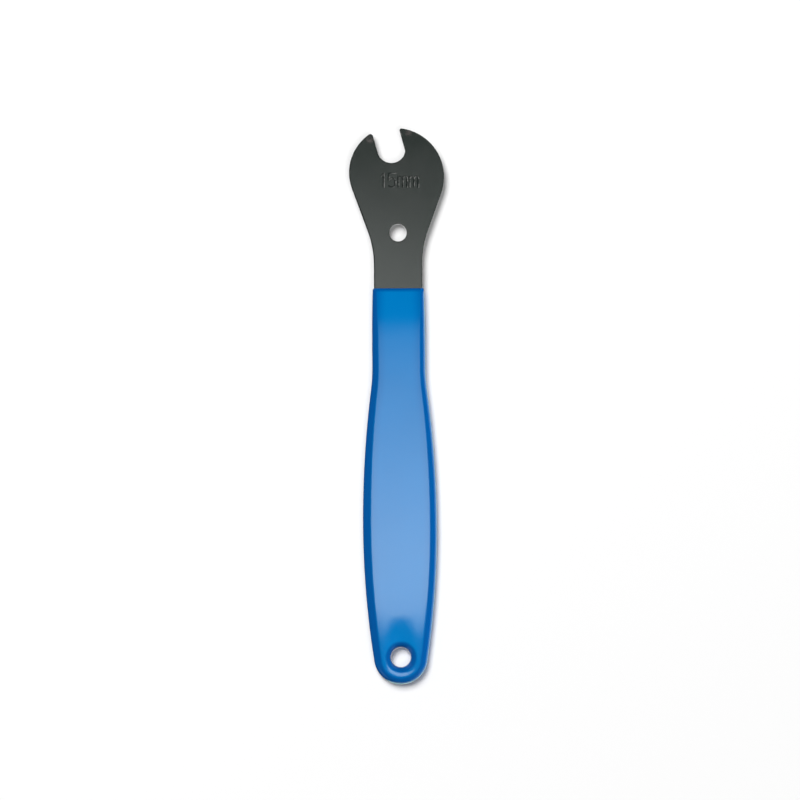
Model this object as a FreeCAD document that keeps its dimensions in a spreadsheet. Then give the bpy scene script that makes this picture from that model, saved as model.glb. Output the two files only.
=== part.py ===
"""A flat pedal wrench: one punched steel blade with a tilted open jaw, and a dipped vinyl grip.

The origin is the centre of the jaw, on the mid-plane of the steel plate. +Y runs along the wrench from
the handle towards the head, +X to the side of the longer jaw tip, and +Z is up, square to the plate.
Every station along the wrench is a drop below the jaw's centre. Sizes are millimetres and degrees.
"""

import FreeCAD, Part
import math
import os

import Sketcher

SIZES = [
    ("plate_thickness", 4.8, "steel plate"),
    ("edge_break", 0.35, "chamfer along the plate's rims and holes"),
    ("jaw_across", 15.1, "between the jaw's flats, for a 15 mm nut"),
    ("jaw_tilt", 15, "lean of the jaw from the wrench's axis, in degrees"),
    ("jaw_offset", 3.7, "jaw's centre from the wrench's axis"),
    ("jaw_root_offset", 0.3, "centre of the jaw's round root from the middle of the jaw"),
    ("root_corner_round", 1.2, "rounding of the corner between the longer tip's flat and the root"),
    ("long_tip_round", 0.8, "rounding of the longer jaw tip"),
    ("short_tip_round", 1.5, "rounding of the shorter jaw tip"),
    ("long_lobe_radius", 26.8, "outer arc of the side with the longer tip"),
    ("short_lobe_radius", 25.3, "outer arc of the side with the shorter tip"),
    ("lobe_offset", 1.25, "centres of the outer arcs from the wrench's axis"),
    ("flank_angle", 20, "spread of the head's flanks from the axis, in degrees"),
    ("flank_drop", 53.9, "where a flank's line meets the neck's line"),
    ("flank_blend", 54, "arc between the neck and a flank"),
    ("head_hole_diameter", 9.5, "round hole in the lower part of the head"),
    ("head_hole_drop", 46.1, "centre of that hole"),
    ("neck_width", 26.5, "parallel neck"),
    ("neck_run", 14.8, "straight neck from the lip's taper to the waist"),
    ("waist_radius", 101, "hollow arc from the neck to the palm"),
    ("palm_width", 37.9, "widest part of the tang"),
    ("palm_drop", 206.4, "where the tang is widest"),
    ("end_radius", 13.4, "round end of the tang"),
    ("tang_drop", 292.2, "end of the tang"),
    ("hang_hole_diameter", 13.2, "hang hole in the steel, before its lining"),
    ("hang_hole_drop", 278.8, "centre of the hang hole"),
    ("skin", 1.3, "vinyl over the steel, and its lining in the hang hole"),
    ("lip_drop", 76.6, "where the dip ends"),
    ("lip_thinning", 0.5, "how much thinner the skin is at its lip"),
    ("lip_taper", 28, "length over which the skin thins towards its lip"),
    ("lip_round", 0.55, "rounding of the lip"),
    ("side_round", 3.0, "rounding of the grip's sides"),
    ("bore_round", 2.4, "rounding of the rims of the lined hang hole"),
]
START, END, CENTRE = 1, 2, 3
ORIGIN = (-1, 1)
AXIS_LINE = -2
TOUCH = 1e-4
# The most that a rounding or a chamfer takes of the wall that it works on.
ROUND_SHARE = 0.95
LIP_SHARE = 0.7
BREAK_SHARE = 1 / 3

os.makedirs("parts", exist_ok=True)
doc = FreeCAD.newDocument("pedal_wrench")
sheet = doc.addObject("Spreadsheet::Sheet", "Sizes")


def fill_sheet():
    """Writes each driving dimension into the sheet, as a note, a plain number and its alias."""
    for row, (alias, value, note) in enumerate(SIZES, start=1):
        sheet.set(f"A{row}", note)
        sheet.set(f"B{row}", str(value))
        sheet.setAlias(f"B{row}", alias)
    doc.recompute()


def size(alias):
    """A driving dimension's number, read from the sheet."""
    return float(sheet.get(alias))


def new_body(name):
    """An empty body with a label of its own."""
    body = doc.addObject("PartDesign::Body", name)
    body.Label = name
    return body


def new_sketch(body, name, plane="XY_Plane", shift=None, turn=None):
    """A sketch on one of the body's own origin planes, with its frame shifted in X or turned."""
    sketch = body.newObject("Sketcher::SketchObject", name)
    features = body.Origin.OriginFeatures
    sketch.AttachmentSupport = [(next(f for f in features if f.Role == plane), "")]
    sketch.MapMode = "FlatFace"
    if shift:
        sketch.setExpression(".AttachmentOffset.Base.x", shift)
    if turn:
        sketch.setExpression(".AttachmentOffset.Rotation.Angle", turn)
    return sketch


def add_line(sketch, start, end):
    """A straight edge, and its index in the sketch."""
    segment = Part.LineSegment(FreeCAD.Vector(*start, 0), FreeCAD.Vector(*end, 0))
    return sketch.addGeometry(segment, False)


def add_arc(sketch, centre, radius, first, last):
    """An arc that runs anticlockwise between two angles in degrees, and its index in the sketch."""
    circle = Part.Circle(FreeCAD.Vector(*centre, 0), FreeCAD.Vector(0, 0, 1), radius)
    arc = Part.ArcOfCircle(circle, math.radians(first), math.radians(last))
    return sketch.addGeometry(arc, False)


def hold(sketch, kind, *where):
    """A geometric constraint, with no size."""
    sketch.addConstraint(Sketcher.Constraint(kind, *where))


def drive(sketch, name, kind, where, value, expression):
    """A dimension of the sketch, bound to the sheet by an expression."""
    index = sketch.addConstraint(Sketcher.Constraint(kind, *where, value))
    sketch.renameConstraint(index, name)
    sketch.setExpression(f"Constraints.{name}", expression)


def drive_x(sketch, name, point, value, expression):
    """A point's distance from the sketch's vertical axis, to the right of it."""
    drive(sketch, name, "DistanceX", (*ORIGIN, *point), value, expression)


def drive_drop(sketch, name, point, value, expression):
    """A point's distance below the sketch's origin."""
    drive(sketch, name, "DistanceY", (*point, *ORIGIN), value, expression)


def add_pad(body, name, sketch, thickness):
    """A plate of even thickness, half of it on each side of the mid-plane."""
    pad = body.newObject("PartDesign::Pad", name)
    pad.Profile = sketch
    pad.SideType = "Symmetric"
    pad.setExpression("Length", thickness)
    doc.recompute()
    return pad


def add_cut(body, name, sketch):
    """An opening that goes through the whole body, on both sides of the sketch."""
    before = body.Shape.Volume
    cut = body.newObject("PartDesign::Pocket", name)
    cut.Profile = sketch
    cut.SideType = "Symmetric"
    cut.Type = "ThroughAll"
    doc.recompute()
    if not body.Shape.Volume < before:
        raise RuntimeError(f"{name} cut nothing")
    return cut


def add_on_edges(body, name, kind, measure, expression, chosen):
    """Works a fillet or a chamfer along the edges of the body's last feature that pass a test."""
    base = body.Tip
    edges = [f"Edge{i}" for i, e in enumerate(base.Shape.Edges, start=1) if chosen(e)]
    feature = body.newObject(f"PartDesign::{kind}", name)
    feature.Base = (base, edges)
    feature.setExpression(measure, expression)
    doc.recompute()
    return feature


def add_fillet(body, name, radius, chosen):
    """Rounds the chosen edges."""
    return add_on_edges(body, name, "Fillet", "Radius", radius, chosen)


def add_chamfer(body, name, width, chosen):
    """Breaks the chosen edges with an even chamfer."""
    return add_on_edges(body, name, "Chamfer", "Size", width, chosen)


def add_round_hole(body, name, expression, diameter, drop):
    """A round hole on the wrench's axis, right through the body, as wide as an expression of the sheet."""
    sketch = new_sketch(body, f"{name}_sketch", shift="Sizes.jaw_offset")
    middle = FreeCAD.Vector(0, -size(drop), 0)
    circle = Part.Circle(middle, FreeCAD.Vector(0, 0, 1), diameter / 2)
    ring = sketch.addGeometry(circle, False)
    hold(sketch, "PointOnObject", ring, CENTRE, AXIS_LINE)
    drive_drop(sketch, "station", (ring, CENTRE), size(drop), f"Sizes.{drop}")
    drive(sketch, "diameter", "Diameter", (ring,), diameter, expression)
    return add_cut(body, name, sketch)


def handle_half(body, name, skin, thickness, thinning=False):
    """One half of the handle's plate, mirrored in the wrench's axis.

    The outline climbs from the round end by an arc to the palm's widest point, on by the shoulder's arc,
    then by the waist's hollow arc to the straight neck, and stops at the lip. All of its arcs meet
    smoothly, and the two whose radii are left open follow from that. skin is how far the outline stands
    outside the steel: nothing, or the vinyl's thickness. With thinning, a last arc draws the outline in
    towards the lip.
    """
    grow = size("skin") if skin else 0
    plus = " + Sizes.skin" if skin else ""
    end_r = size("end_radius") + grow
    palm = size("palm_width") / 2 + grow
    neck = size("neck_width") / 2 + grow
    waist_r = size("waist_radius") - grow
    end_y = -size("tang_drop") - grow + end_r
    palm_y = -size("palm_drop")
    lip_y = -size("lip_drop")
    waist_y = lip_y - size("lip_taper") - size("neck_run")
    rise = palm_y - end_y
    palm_r = (palm**2 + rise**2 - end_r**2) / (2 * (palm - end_r))
    low = -math.degrees(math.asin(rise / (palm_r - end_r)))
    reach = waist_y - palm_y
    both_r = (reach**2 + (palm - neck) ** 2) / (2 * (palm - neck))
    shoulder_r = both_r - waist_r
    high = math.degrees(math.asin(reach / both_r))
    straight_y = lip_y - (size("lip_taper") if thinning else 0)

    sketch = new_sketch(body, f"{name}_sketch", shift="Sizes.jaw_offset")
    end = add_arc(sketch, (0, end_y), end_r, -90, low)
    swell = add_arc(sketch, (palm - palm_r, palm_y), palm_r, low, 0)
    shoulder = add_arc(sketch, (palm - shoulder_r, palm_y), shoulder_r, 0, high)
    waist = add_arc(sketch, (neck + waist_r, waist_y), waist_r, 180, 180 + high)
    side = add_line(sketch, (neck, waist_y), (neck, straight_y))
    last, lip_x = (side, END), neck
    if thinning:
        thin = size("lip_thinning")
        taper_r = (size("lip_taper") ** 2 + thin**2) / (2 * thin)
        sweep = math.degrees(math.asin(size("lip_taper") / taper_r))
        taper = add_arc(sketch, (neck - taper_r, straight_y), taper_r, 0, sweep)
        last, lip_x = (taper, END), neck - thin
    top = add_line(sketch, (lip_x, lip_y), (0, lip_y))
    spine = add_line(sketch, (0, lip_y), (0, end_y - end_r))

    hold(sketch, "PointOnObject", end, CENTRE, AXIS_LINE)
    hold(sketch, "PointOnObject", end, START, AXIS_LINE)
    hold(sketch, "Tangent", end, END, swell, START)
    hold(sketch, "Tangent", swell, END, shoulder, START)
    hold(sketch, "Horizontal", swell, CENTRE, swell, END)
    hold(sketch, "Tangent", shoulder, END, waist, END)
    hold(sketch, "Tangent", waist, START, side, START)
    hold(sketch, "Vertical", side)
    if thinning:
        hold(sketch, "Tangent", side, END, taper, START)
    hold(sketch, "Coincident", *last, top, START)
    hold(sketch, "Horizontal", top)
    hold(sketch, "PointOnObject", top, END, AXIS_LINE)
    hold(sketch, "Coincident", top, END, spine, START)
    hold(sketch, "Coincident", spine, END, end, START)
    drive(sketch, "end_radius", "Radius", (end,), end_r, "Sizes.end_radius" + plus)
    drive_drop(sketch, "end_drop", (end, START), size("tang_drop") + grow, "Sizes.tang_drop" + plus)
    drive_x(sketch, "palm_half", (swell, END), palm, "Sizes.palm_width / 2" + plus)
    drive_drop(sketch, "palm_drop", (swell, END), -palm_y, "Sizes.palm_drop")
    drive(sketch, "waist", "Radius", (waist,), waist_r, "Sizes.waist_radius" + plus.replace("+", "-"))
    waist_drop = "Sizes.lip_drop + Sizes.lip_taper + Sizes.neck_run"
    drive_drop(sketch, "waist_drop", (waist, START), -waist_y, waist_drop)
    drive_x(sketch, "neck_half", (side, END), neck, "Sizes.neck_width / 2" + plus)
    drive_drop(sketch, "lip_drop", last, -lip_y, "Sizes.lip_drop")
    if thinning:
        drive_drop(sketch, "taper_drop", (side, END), -straight_y, "Sizes.lip_drop + Sizes.lip_taper")
        drive_x(sketch, "lip_half", last, lip_x, "Sizes.neck_width / 2 + Sizes.skin - Sizes.lip_thinning")

    pad = add_pad(body, name, sketch, thickness)
    mirror = body.newObject("PartDesign::Mirrored", f"{name}_mirror")
    mirror.Originals = [pad]
    mirror.MirrorPlane = (sketch, ["V_Axis"])
    body.Tip = mirror
    doc.recompute()
    return mirror


def head_side(sketch, hand, lobe):
    """One side of the bare head, from the lip up to the crown. hand is 1 on the right and -1 on the left.

    The neck's line runs into a hollow blend, then the straight flank, then the outer arc. The outer arc
    stops in the jaw's mouth, straight above the jaw's centre. Returns the neck's line, and the outer arc
    with the number of the end that lies in the mouth.
    """
    neck = size("neck_width") / 2
    angle = size("flank_angle")
    cos, sin = math.cos(math.radians(angle)), math.sin(math.radians(angle))
    blend_r = size("flank_blend")
    blend_x = hand * (neck + blend_r)
    blend_y = -size("flank_drop") - blend_r * math.tan(math.radians(angle / 2))
    lobe_r = size(f"{lobe}_lobe_radius")
    lobe_x = -size("lobe_offset")
    lobe_y = -size("flank_drop") + (lobe_r - (neck - hand * lobe_x) * cos) / sin
    crown = math.degrees(math.acos((-size("jaw_offset") - lobe_x) / lobe_r))

    side = add_line(sketch, (hand * neck, -size("lip_drop")), (hand * neck, blend_y))
    if hand > 0:
        blend = add_arc(sketch, (blend_x, blend_y), blend_r, 180 - angle, 180)
        outer = add_arc(sketch, (lobe_x, lobe_y), lobe_r, -angle, crown)
    else:
        blend = add_arc(sketch, (blend_x, blend_y), blend_r, 0, angle)
        outer = add_arc(sketch, (lobe_x, lobe_y), lobe_r, crown, 180 + angle)
    bend = (blend_x - hand * blend_r * cos, blend_y + blend_r * sin)
    flank = add_line(sketch, bend, (lobe_x + hand * lobe_r * cos, lobe_y - lobe_r * sin))

    near, far = (START, END) if hand > 0 else (END, START)
    hold(sketch, "Vertical", side)
    hold(sketch, "Tangent", side, END, blend, far)
    hold(sketch, "Tangent", blend, near, flank, START)
    hold(sketch, "Tangent", flank, END, outer, near)
    lean = math.radians(90 - hand * angle)
    blend_drop = "Sizes.flank_drop + Sizes.flank_blend * tan(Sizes.flank_angle * 0.5 deg)"
    drive(sketch, f"{lobe}_lean", "Angle", (flank,), lean, f"(90 - {hand} * Sizes.flank_angle) * 1 deg")
    drive_drop(sketch, f"{lobe}_blend_drop", (blend, CENTRE), -blend_y, blend_drop)
    drive(sketch, f"{lobe}_blend", "Radius", (blend,), blend_r, "Sizes.flank_blend")
    drive(sketch, f"{lobe}_lobe", "Radius", (outer,), lobe_r, f"Sizes.{lobe}_lobe_radius")
    drive_x(sketch, f"{lobe}_lobe_x", (outer, CENTRE), lobe_x, "-Sizes.lobe_offset")
    drive_x(sketch, f"{lobe}_crown_x", (outer, far), -size("jaw_offset"), "-Sizes.jaw_offset")
    return side, (outer, far)


def head_sketch(body):
    """The bare head's outline, whole until the jaw is cut."""
    neck, drop = size("neck_width") / 2, size("lip_drop")
    sketch = new_sketch(body, "head_sketch", shift="Sizes.jaw_offset")
    right, right_crown = head_side(sketch, 1, "long")
    left, left_crown = head_side(sketch, -1, "short")
    foot = add_line(sketch, (-neck, -drop), (neck, -drop))
    ends = [sketch.getPoint(*crown) for crown in (right_crown, left_crown)]
    bridge = add_line(sketch, (ends[0].x, ends[0].y), (ends[1].x, ends[1].y))
    hold(sketch, "Coincident", foot, START, left, START)
    hold(sketch, "Coincident", foot, END, right, START)
    hold(sketch, "Symmetric", foot, START, foot, END, AXIS_LINE)
    hold(sketch, "Coincident", bridge, START, *right_crown)
    hold(sketch, "Coincident", bridge, END, *left_crown)
    drive(sketch, "neck", "DistanceX", (foot, START, foot, END), 2 * neck, "Sizes.neck_width")
    drive_drop(sketch, "lip_drop", (foot, END), drop, "Sizes.lip_drop")
    return sketch


def jaw_sketch(body):
    """The open jaw, in a frame turned by the jaw's lean about the jaw's centre.

    Both flats are straight up the frame. The round root stands a little towards the longer tip: it runs
    smoothly into the flat of the shorter tip, and the flat of the longer tip ends in a corner on it.
    """
    half, shift = size("jaw_across") / 2, size("jaw_root_offset")
    root_r = half + shift
    corner = math.degrees(math.acos((half - shift) / root_r))
    mouth = size("long_lobe_radius")
    sketch = new_sketch(body, "jaw_sketch", turn="Sizes.jaw_tilt * 1 deg")
    short_flat = add_line(sketch, (-half, mouth), (-half, 0))
    root = add_arc(sketch, (shift, 0), root_r, 180, 360 - corner)
    long_flat = add_line(sketch, (half, -root_r * math.sin(math.radians(corner))), (half, mouth))
    top = add_line(sketch, (half, mouth), (-half, mouth))
    hold(sketch, "Vertical", short_flat)
    hold(sketch, "Tangent", short_flat, END, root, START)
    hold(sketch, "Coincident", root, END, long_flat, START)
    hold(sketch, "Vertical", long_flat)
    hold(sketch, "Coincident", long_flat, END, top, START)
    hold(sketch, "Horizontal", top)
    hold(sketch, "Coincident", top, END, short_flat, START)
    hold(sketch, "PointOnObject", root, CENTRE, -1)
    drive(sketch, "root", "Radius", (root,), root_r, "Sizes.jaw_across / 2 + Sizes.jaw_root_offset")
    drive_x(sketch, "root_x", (root, CENTRE), shift, "Sizes.jaw_root_offset")
    drive_x(sketch, "long_flat_x", (long_flat, END), half, "Sizes.jaw_across / 2")
    drive(sketch, "mouth", "DistanceY", (*ORIGIN, top, START), mouth, "Sizes.long_lobe_radius")
    return sketch


def is_flat_end(edge, hand, end):
    """Whether an edge stands square to the plate at one end of one of the jaw's flats.

    hand is 1 for the flat of the longer tip and -1 for the other. end is 1 at the tip and -1 at the root.
    """
    first, last = edge.Vertexes[0].Point, edge.Vertexes[-1].Point
    if abs(first.x - last.x) > TOUCH or abs(first.y - last.y) > TOUCH:
        return False
    tilt = math.radians(size("jaw_tilt"))
    across = first.x * math.cos(tilt) + first.y * math.sin(tilt)
    along = first.y * math.cos(tilt) - first.x * math.sin(tilt)
    return end * along > 0 and abs(hand * across - size("jaw_across") / 2) < TOUCH


def is_plate_rim(edge):
    """Whether an edge lies in the plate's upper or lower face."""
    box = edge.BoundBox
    face = size("plate_thickness") / 2
    return box.ZLength < TOUCH and abs(abs(box.ZMax) - face) < TOUCH


def build_blade():
    """The steel blade: tang, head, tilted jaw and two round holes, its tips rounded and its rims broken."""
    body = new_body("steel_blade")
    handle_half(body, "tang", None, "Sizes.plate_thickness")
    add_pad(body, "head", head_sketch(body), "Sizes.plate_thickness")
    add_cut(body, "jaw", jaw_sketch(body))
    for hole in ("head_hole", "hang_hole"):
        add_round_hole(body, hole, f"Sizes.{hole}_diameter", size(f"{hole}_diameter"), f"{hole}_drop")
    for name, hand, end in (("root_corner", 1, -1), ("long_tip", 1, 1), ("short_tip", -1, 1)):
        add_fillet(body, f"{name}_fillet", f"Sizes.{name}_round", lambda edge: is_flat_end(edge, hand, end))
    edge_break = f"min(Sizes.edge_break; {BREAK_SHARE} * Sizes.plate_thickness)"
    add_chamfer(body, "rim_chamfer", edge_break, is_plate_rim)
    return body


def thinning_sketch(body):
    """Two slivers, one above and one below, that thin the skin towards its lip along a shallow arc."""
    face = size("plate_thickness") / 2 + size("skin")
    thin, taper = size("lip_thinning"), size("lip_taper")
    lip = -size("lip_drop")
    start = lip - taper
    above = face + size("skin")
    radius = (taper**2 + thin**2) / (2 * thin)
    sweep = math.degrees(math.asin(taper / radius))
    sketch = new_sketch(body, "thinning_sketch", plane="YZ_Plane")
    for hand, name in ((1, "upper"), (-1, "lower")):
        centre = (start, hand * (face - radius))
        if hand > 0:
            arc, inner, outer = add_arc(sketch, centre, radius, 90 - sweep, 90), END, START
        else:
            arc, inner, outer = add_arc(sketch, centre, radius, 270, 270 + sweep), START, END
        back = add_line(sketch, (start, hand * face), (start, hand * above))
        top = add_line(sketch, (start, hand * above), (lip, hand * above))
        front = add_line(sketch, (lip, hand * above), (lip, hand * (face - thin)))
        hold(sketch, "Vertical", arc, CENTRE, arc, inner)
        hold(sketch, "Coincident", arc, inner, back, START)
        hold(sketch, "Coincident", back, END, top, START)
        hold(sketch, "Coincident", top, END, front, START)
        hold(sketch, "Coincident", front, END, arc, outer)
        hold(sketch, "Vertical", back)
        hold(sketch, "Horizontal", top)
        hold(sketch, "Vertical", front)
        skin_face = "Sizes.plate_thickness / 2 + Sizes.skin"
        drive(sketch, f"{name}_start", "DistanceX", (back, START, *ORIGIN), -start,
              "Sizes.lip_drop + Sizes.lip_taper")
        drive(sketch, f"{name}_lip", "DistanceX", (front, START, *ORIGIN), -lip, "Sizes.lip_drop")
        drive(sketch, f"{name}_face", "DistanceY", (*ORIGIN, back, START), hand * face,
              f"{hand} * ({skin_face})")
        drive(sketch, f"{name}_above", "DistanceY", (*ORIGIN, top, START), hand * above,
              f"{hand} * ({skin_face} + Sizes.skin)")
        drive(sketch, f"{name}_thin", "DistanceY", (*ORIGIN, front, END), hand * (face - thin),
              f"{hand} * ({skin_face} - Sizes.lip_thinning)")
    return sketch


def is_grip_side(edge):
    """Whether an edge follows the grip's outline, above or below, and doesn't run straight across it."""
    middle = edge.valueAt((edge.FirstParameter + edge.LastParameter) / 2)
    across = isinstance(edge.Curve, Part.Line) and abs(edge.Curve.Direction.x) > 1 - TOUCH
    return abs(middle.z) > size("plate_thickness") / 2 and not across


def is_lip_edge(edge):
    """Whether an edge lies in the plane where the dip ends."""
    box = edge.BoundBox
    return box.YLength < TOUCH and abs(box.YMax + size("lip_drop")) < TOUCH


def is_bore_rim(edge):
    """Whether an edge is a rim of the lined hang hole."""
    bore = size("hang_hole_diameter") / 2 - size("skin")
    return isinstance(edge.Curve, Part.Circle) and abs(edge.Curve.Radius - bore) < TOUCH


def build_grip(blade):
    """The vinyl skin: the tang's outline grown by the skin, rounded all over, less the blade inside it."""
    form = new_body("grip_form")
    handle_half(form, "dip", "skin", "Sizes.plate_thickness + 2 * Sizes.skin", thinning=True)
    add_cut(form, "thinning", thinning_sketch(form))
    half = "(Sizes.plate_thickness / 2 + Sizes.skin)"
    lip = "(Sizes.skin - Sizes.lip_thinning)"
    side_round = f"min(Sizes.side_round; {ROUND_SHARE} * ({half} - Sizes.lip_thinning))"
    add_fillet(form, "side_fillet", side_round, is_grip_side)
    add_fillet(form, "lip_fillet", f"min(Sizes.lip_round; {LIP_SHARE} * {lip})", is_lip_edge)
    bore = size("hang_hole_diameter") - 2 * size("skin")
    add_round_hole(form, "lined_hole", "Sizes.hang_hole_diameter - 2 * Sizes.skin", bore, "hang_hole_drop")
    add_fillet(form, "bore_fillet", f"min(Sizes.bore_round; {ROUND_SHARE} * {half})", is_bore_rim)
    grip = doc.addObject("Part::Cut", "vinyl_grip")
    grip.Label = "vinyl_grip"
    grip.Base = form
    grip.Tool = blade
    doc.recompute()
    return grip


def check_document():
    """Stops where any object failed to compute."""
    for item in doc.Objects:
        if "Invalid" in item.State or "Error" in item.State:
            raise RuntimeError(f"{item.Name} failed: {item.State}")


def write_piece(piece):
    """Writes one piece as a STEP file named after its label, once its shape is sound."""
    shape = piece.Shape
    if shape.isNull() or not shape.isValid() or len(shape.Solids) != 1:
        raise RuntimeError(f"{piece.Label} isn't one sound solid")
    shape.exportStep(os.path.join("parts", f"{piece.Label}.step"))
    print(f"{piece.Label}: {shape.Volume / 1000:.2f} cm3, {len(shape.Faces)} faces")


fill_sheet()
steel_blade = build_blade()
vinyl_grip = build_grip(steel_blade)
check_document()
for finished in (steel_blade, vinyl_grip):
    write_piece(finished)
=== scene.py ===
"""A pedal wrench: a blackened steel blade with a tilted open jaw, in a glossy dipped vinyl grip.

The frame's origin is the centre of the jaw, on the mid-plane of the plate. +Y runs along the wrench
towards the head, +X to the side of the longer jaw tip, and +Z is up. Sizes here are millimetres, and
MM turns them into Blender's metres when a mesh is made.
"""

import logging
import math
from dataclasses import dataclass, field
from enum import Enum

import bmesh
import bpy
import numpy as np
from mathutils import Matrix, Vector
from mathutils.geometry import delaunay_2d_cdt

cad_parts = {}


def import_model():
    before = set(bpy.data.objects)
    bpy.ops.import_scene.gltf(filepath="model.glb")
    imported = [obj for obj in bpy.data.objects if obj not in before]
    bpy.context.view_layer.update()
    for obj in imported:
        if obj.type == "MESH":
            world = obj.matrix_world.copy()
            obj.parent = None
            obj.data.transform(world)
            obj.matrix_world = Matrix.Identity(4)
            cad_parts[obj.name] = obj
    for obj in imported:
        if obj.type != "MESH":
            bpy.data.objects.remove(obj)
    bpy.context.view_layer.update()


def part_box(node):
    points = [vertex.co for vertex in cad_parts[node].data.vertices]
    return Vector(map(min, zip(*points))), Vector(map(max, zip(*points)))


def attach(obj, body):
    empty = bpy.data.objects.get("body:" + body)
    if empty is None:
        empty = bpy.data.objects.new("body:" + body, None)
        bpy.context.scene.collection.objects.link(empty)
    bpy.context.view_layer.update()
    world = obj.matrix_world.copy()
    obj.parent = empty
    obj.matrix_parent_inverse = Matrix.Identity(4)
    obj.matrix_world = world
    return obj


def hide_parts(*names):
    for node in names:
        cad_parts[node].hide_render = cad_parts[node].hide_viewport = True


MM = 0.001
WELD = 1e-6  # metres within which two vertices are made one
FINE_ANGLE = 4.0  # longest sweep of one chord of an arc, in degrees
Colour = tuple[float, float, float, float]
Curve = list[tuple[float, float]]
log = logging.getLogger("pedal_wrench")


class Slot(Enum):
    """The record's material slots."""

    STEEL = "blackened_steel"
    VINYL = "blue_vinyl"


class Node(Enum):
    """The frame's nodes that the pieces stand for."""

    BLADE = "steel_blade"
    GRIP = "vinyl_grip"


class Tint(Enum):
    """Colours of the light that the cards give."""

    WHITE = (1.0, 1.0, 1.0, 1.0)
    DAY = (0.95, 1.0, 0.97, 1.0)
    SEA = (0.70, 1.0, 0.84, 1.0)


@dataclass(frozen=True)
class Stretch:
    """Points along an outline, with the normal that points out of the solid at each.

    Attributes:
        points: One row of X and Y for each point.
        normals: One unit vector for each point.
    """

    points: np.ndarray
    normals: np.ndarray

    def then(self, *others: "Stretch") -> "Stretch":
        """This stretch with others joined on, each one's first point being the last one's end.

        Args:
            others: The stretches that follow, in order.

        Returns:
            The joined stretch.
        """
        points = [self.points] + [other.points[1:] for other in others]
        normals = [self.normals] + [other.normals[1:] for other in others]
        return Stretch(np.concatenate(points), np.concatenate(normals))

    def moved(self, turn: float, shift: tuple[float, float]) -> "Stretch":
        """The stretch turned about the origin by an angle in degrees, then shifted.

        Args:
            turn: The angle, anticlockwise.
            shift: The way it is shifted, X and Y.

        Returns:
            The moved stretch.
        """
        cos, sin = math.cos(math.radians(turn)), math.sin(math.radians(turn))
        spin = np.array([[cos, sin], [-sin, cos]])
        return Stretch(self.points @ spin + np.asarray(shift), self.normals @ spin)

    def mirrored(self) -> "Stretch":
        """The stretch mirrored in the line X = 0 and run the other way."""
        flip = np.array([-1.0, 1.0])
        return Stretch((self.points * flip)[::-1], (self.normals * flip)[::-1])

    def inset(self, depth: float) -> np.ndarray:
        """The points drawn into the solid by a depth, along their normals."""
        return self.points - depth * self.normals


def arc(centre: tuple[float, float], radius: float, first: float, last: float,
        hollow: bool = False, step: float = 1.5) -> Stretch:
    """An arc: centre plus radius times the unit vector of an angle that runs evenly from first to last.

    Args:
        centre: X and Y of the centre.
        radius: Radius of the arc.
        first: Angle of its first point, in degrees.
        last: Angle of its last point, in degrees.
        hollow: Whether the solid lies outside the circle, so that the normals point to its centre.
        step: Longest chord.

    Returns:
        The arc's points and normals.
    """
    sweep = abs(last - first)
    count = max(3, math.ceil(sweep / FINE_ANGLE) + 1, math.ceil(math.radians(sweep) * radius / step) + 1)
    angles = np.radians(np.linspace(first, last, count))
    rays = np.stack([np.cos(angles), np.sin(angles)], axis=1)
    return Stretch(np.asarray(centre) + radius * rays, -rays if hollow else rays)


def line(start: tuple[float, float], end: tuple[float, float], step: float = 1.5) -> Stretch:
    """A straight run, evenly divided, with the solid on its left.

    Args:
        start: X and Y of its first point.
        end: X and Y of its last point.
        step: Longest division.

    Returns:
        The run's points and normals.
    """
    start, end = np.asarray(start, float), np.asarray(end, float)
    length = float(np.hypot(*(end - start)))
    share = np.linspace(0, 1, max(2, math.ceil(length / step) + 1))[:, None]
    along = (end - start) / length
    normal = np.array([along[1], -along[0]])
    return Stretch(start + share * (end - start), np.repeat(normal[None], len(share), axis=0))


def ellipse_rise(share: np.ndarray, power: float | np.ndarray = 2) -> np.ndarray:
    """How high a quarter ellipse has risen: the root of 1 minus (1 minus share) to a power, and 1 past it."""
    return np.sqrt(np.clip(1 - (1 - np.clip(share, 0, 1)) ** power, 0, 1))


def smooth(share: np.ndarray) -> np.ndarray:
    """An even step from 0 to 1: three share squared less two share cubed."""
    share = np.clip(share, 0, 1)
    return share * share * (3 - 2 * share)


def grid_faces(rows: int, columns: int, start: int = 0, loop: bool = False) -> np.ndarray:
    """Four-sided faces over a grid of vertices that are numbered row by row.

    Args:
        rows: Rows of vertices.
        columns: Vertices in a row.
        start: Number of the first vertex.
        loop: Whether the last column joins the first.

    Returns:
        One row of four vertex numbers for each face.
    """
    index = start + np.arange(rows * columns).reshape(rows, columns)
    if loop:
        index = np.concatenate([index, index[:, :1]], axis=1)
    corners = [index[:-1, :-1], index[:-1, 1:], index[1:, 1:], index[1:, :-1]]
    return np.stack(corners, axis=-1).reshape(-1, 4)


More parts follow.
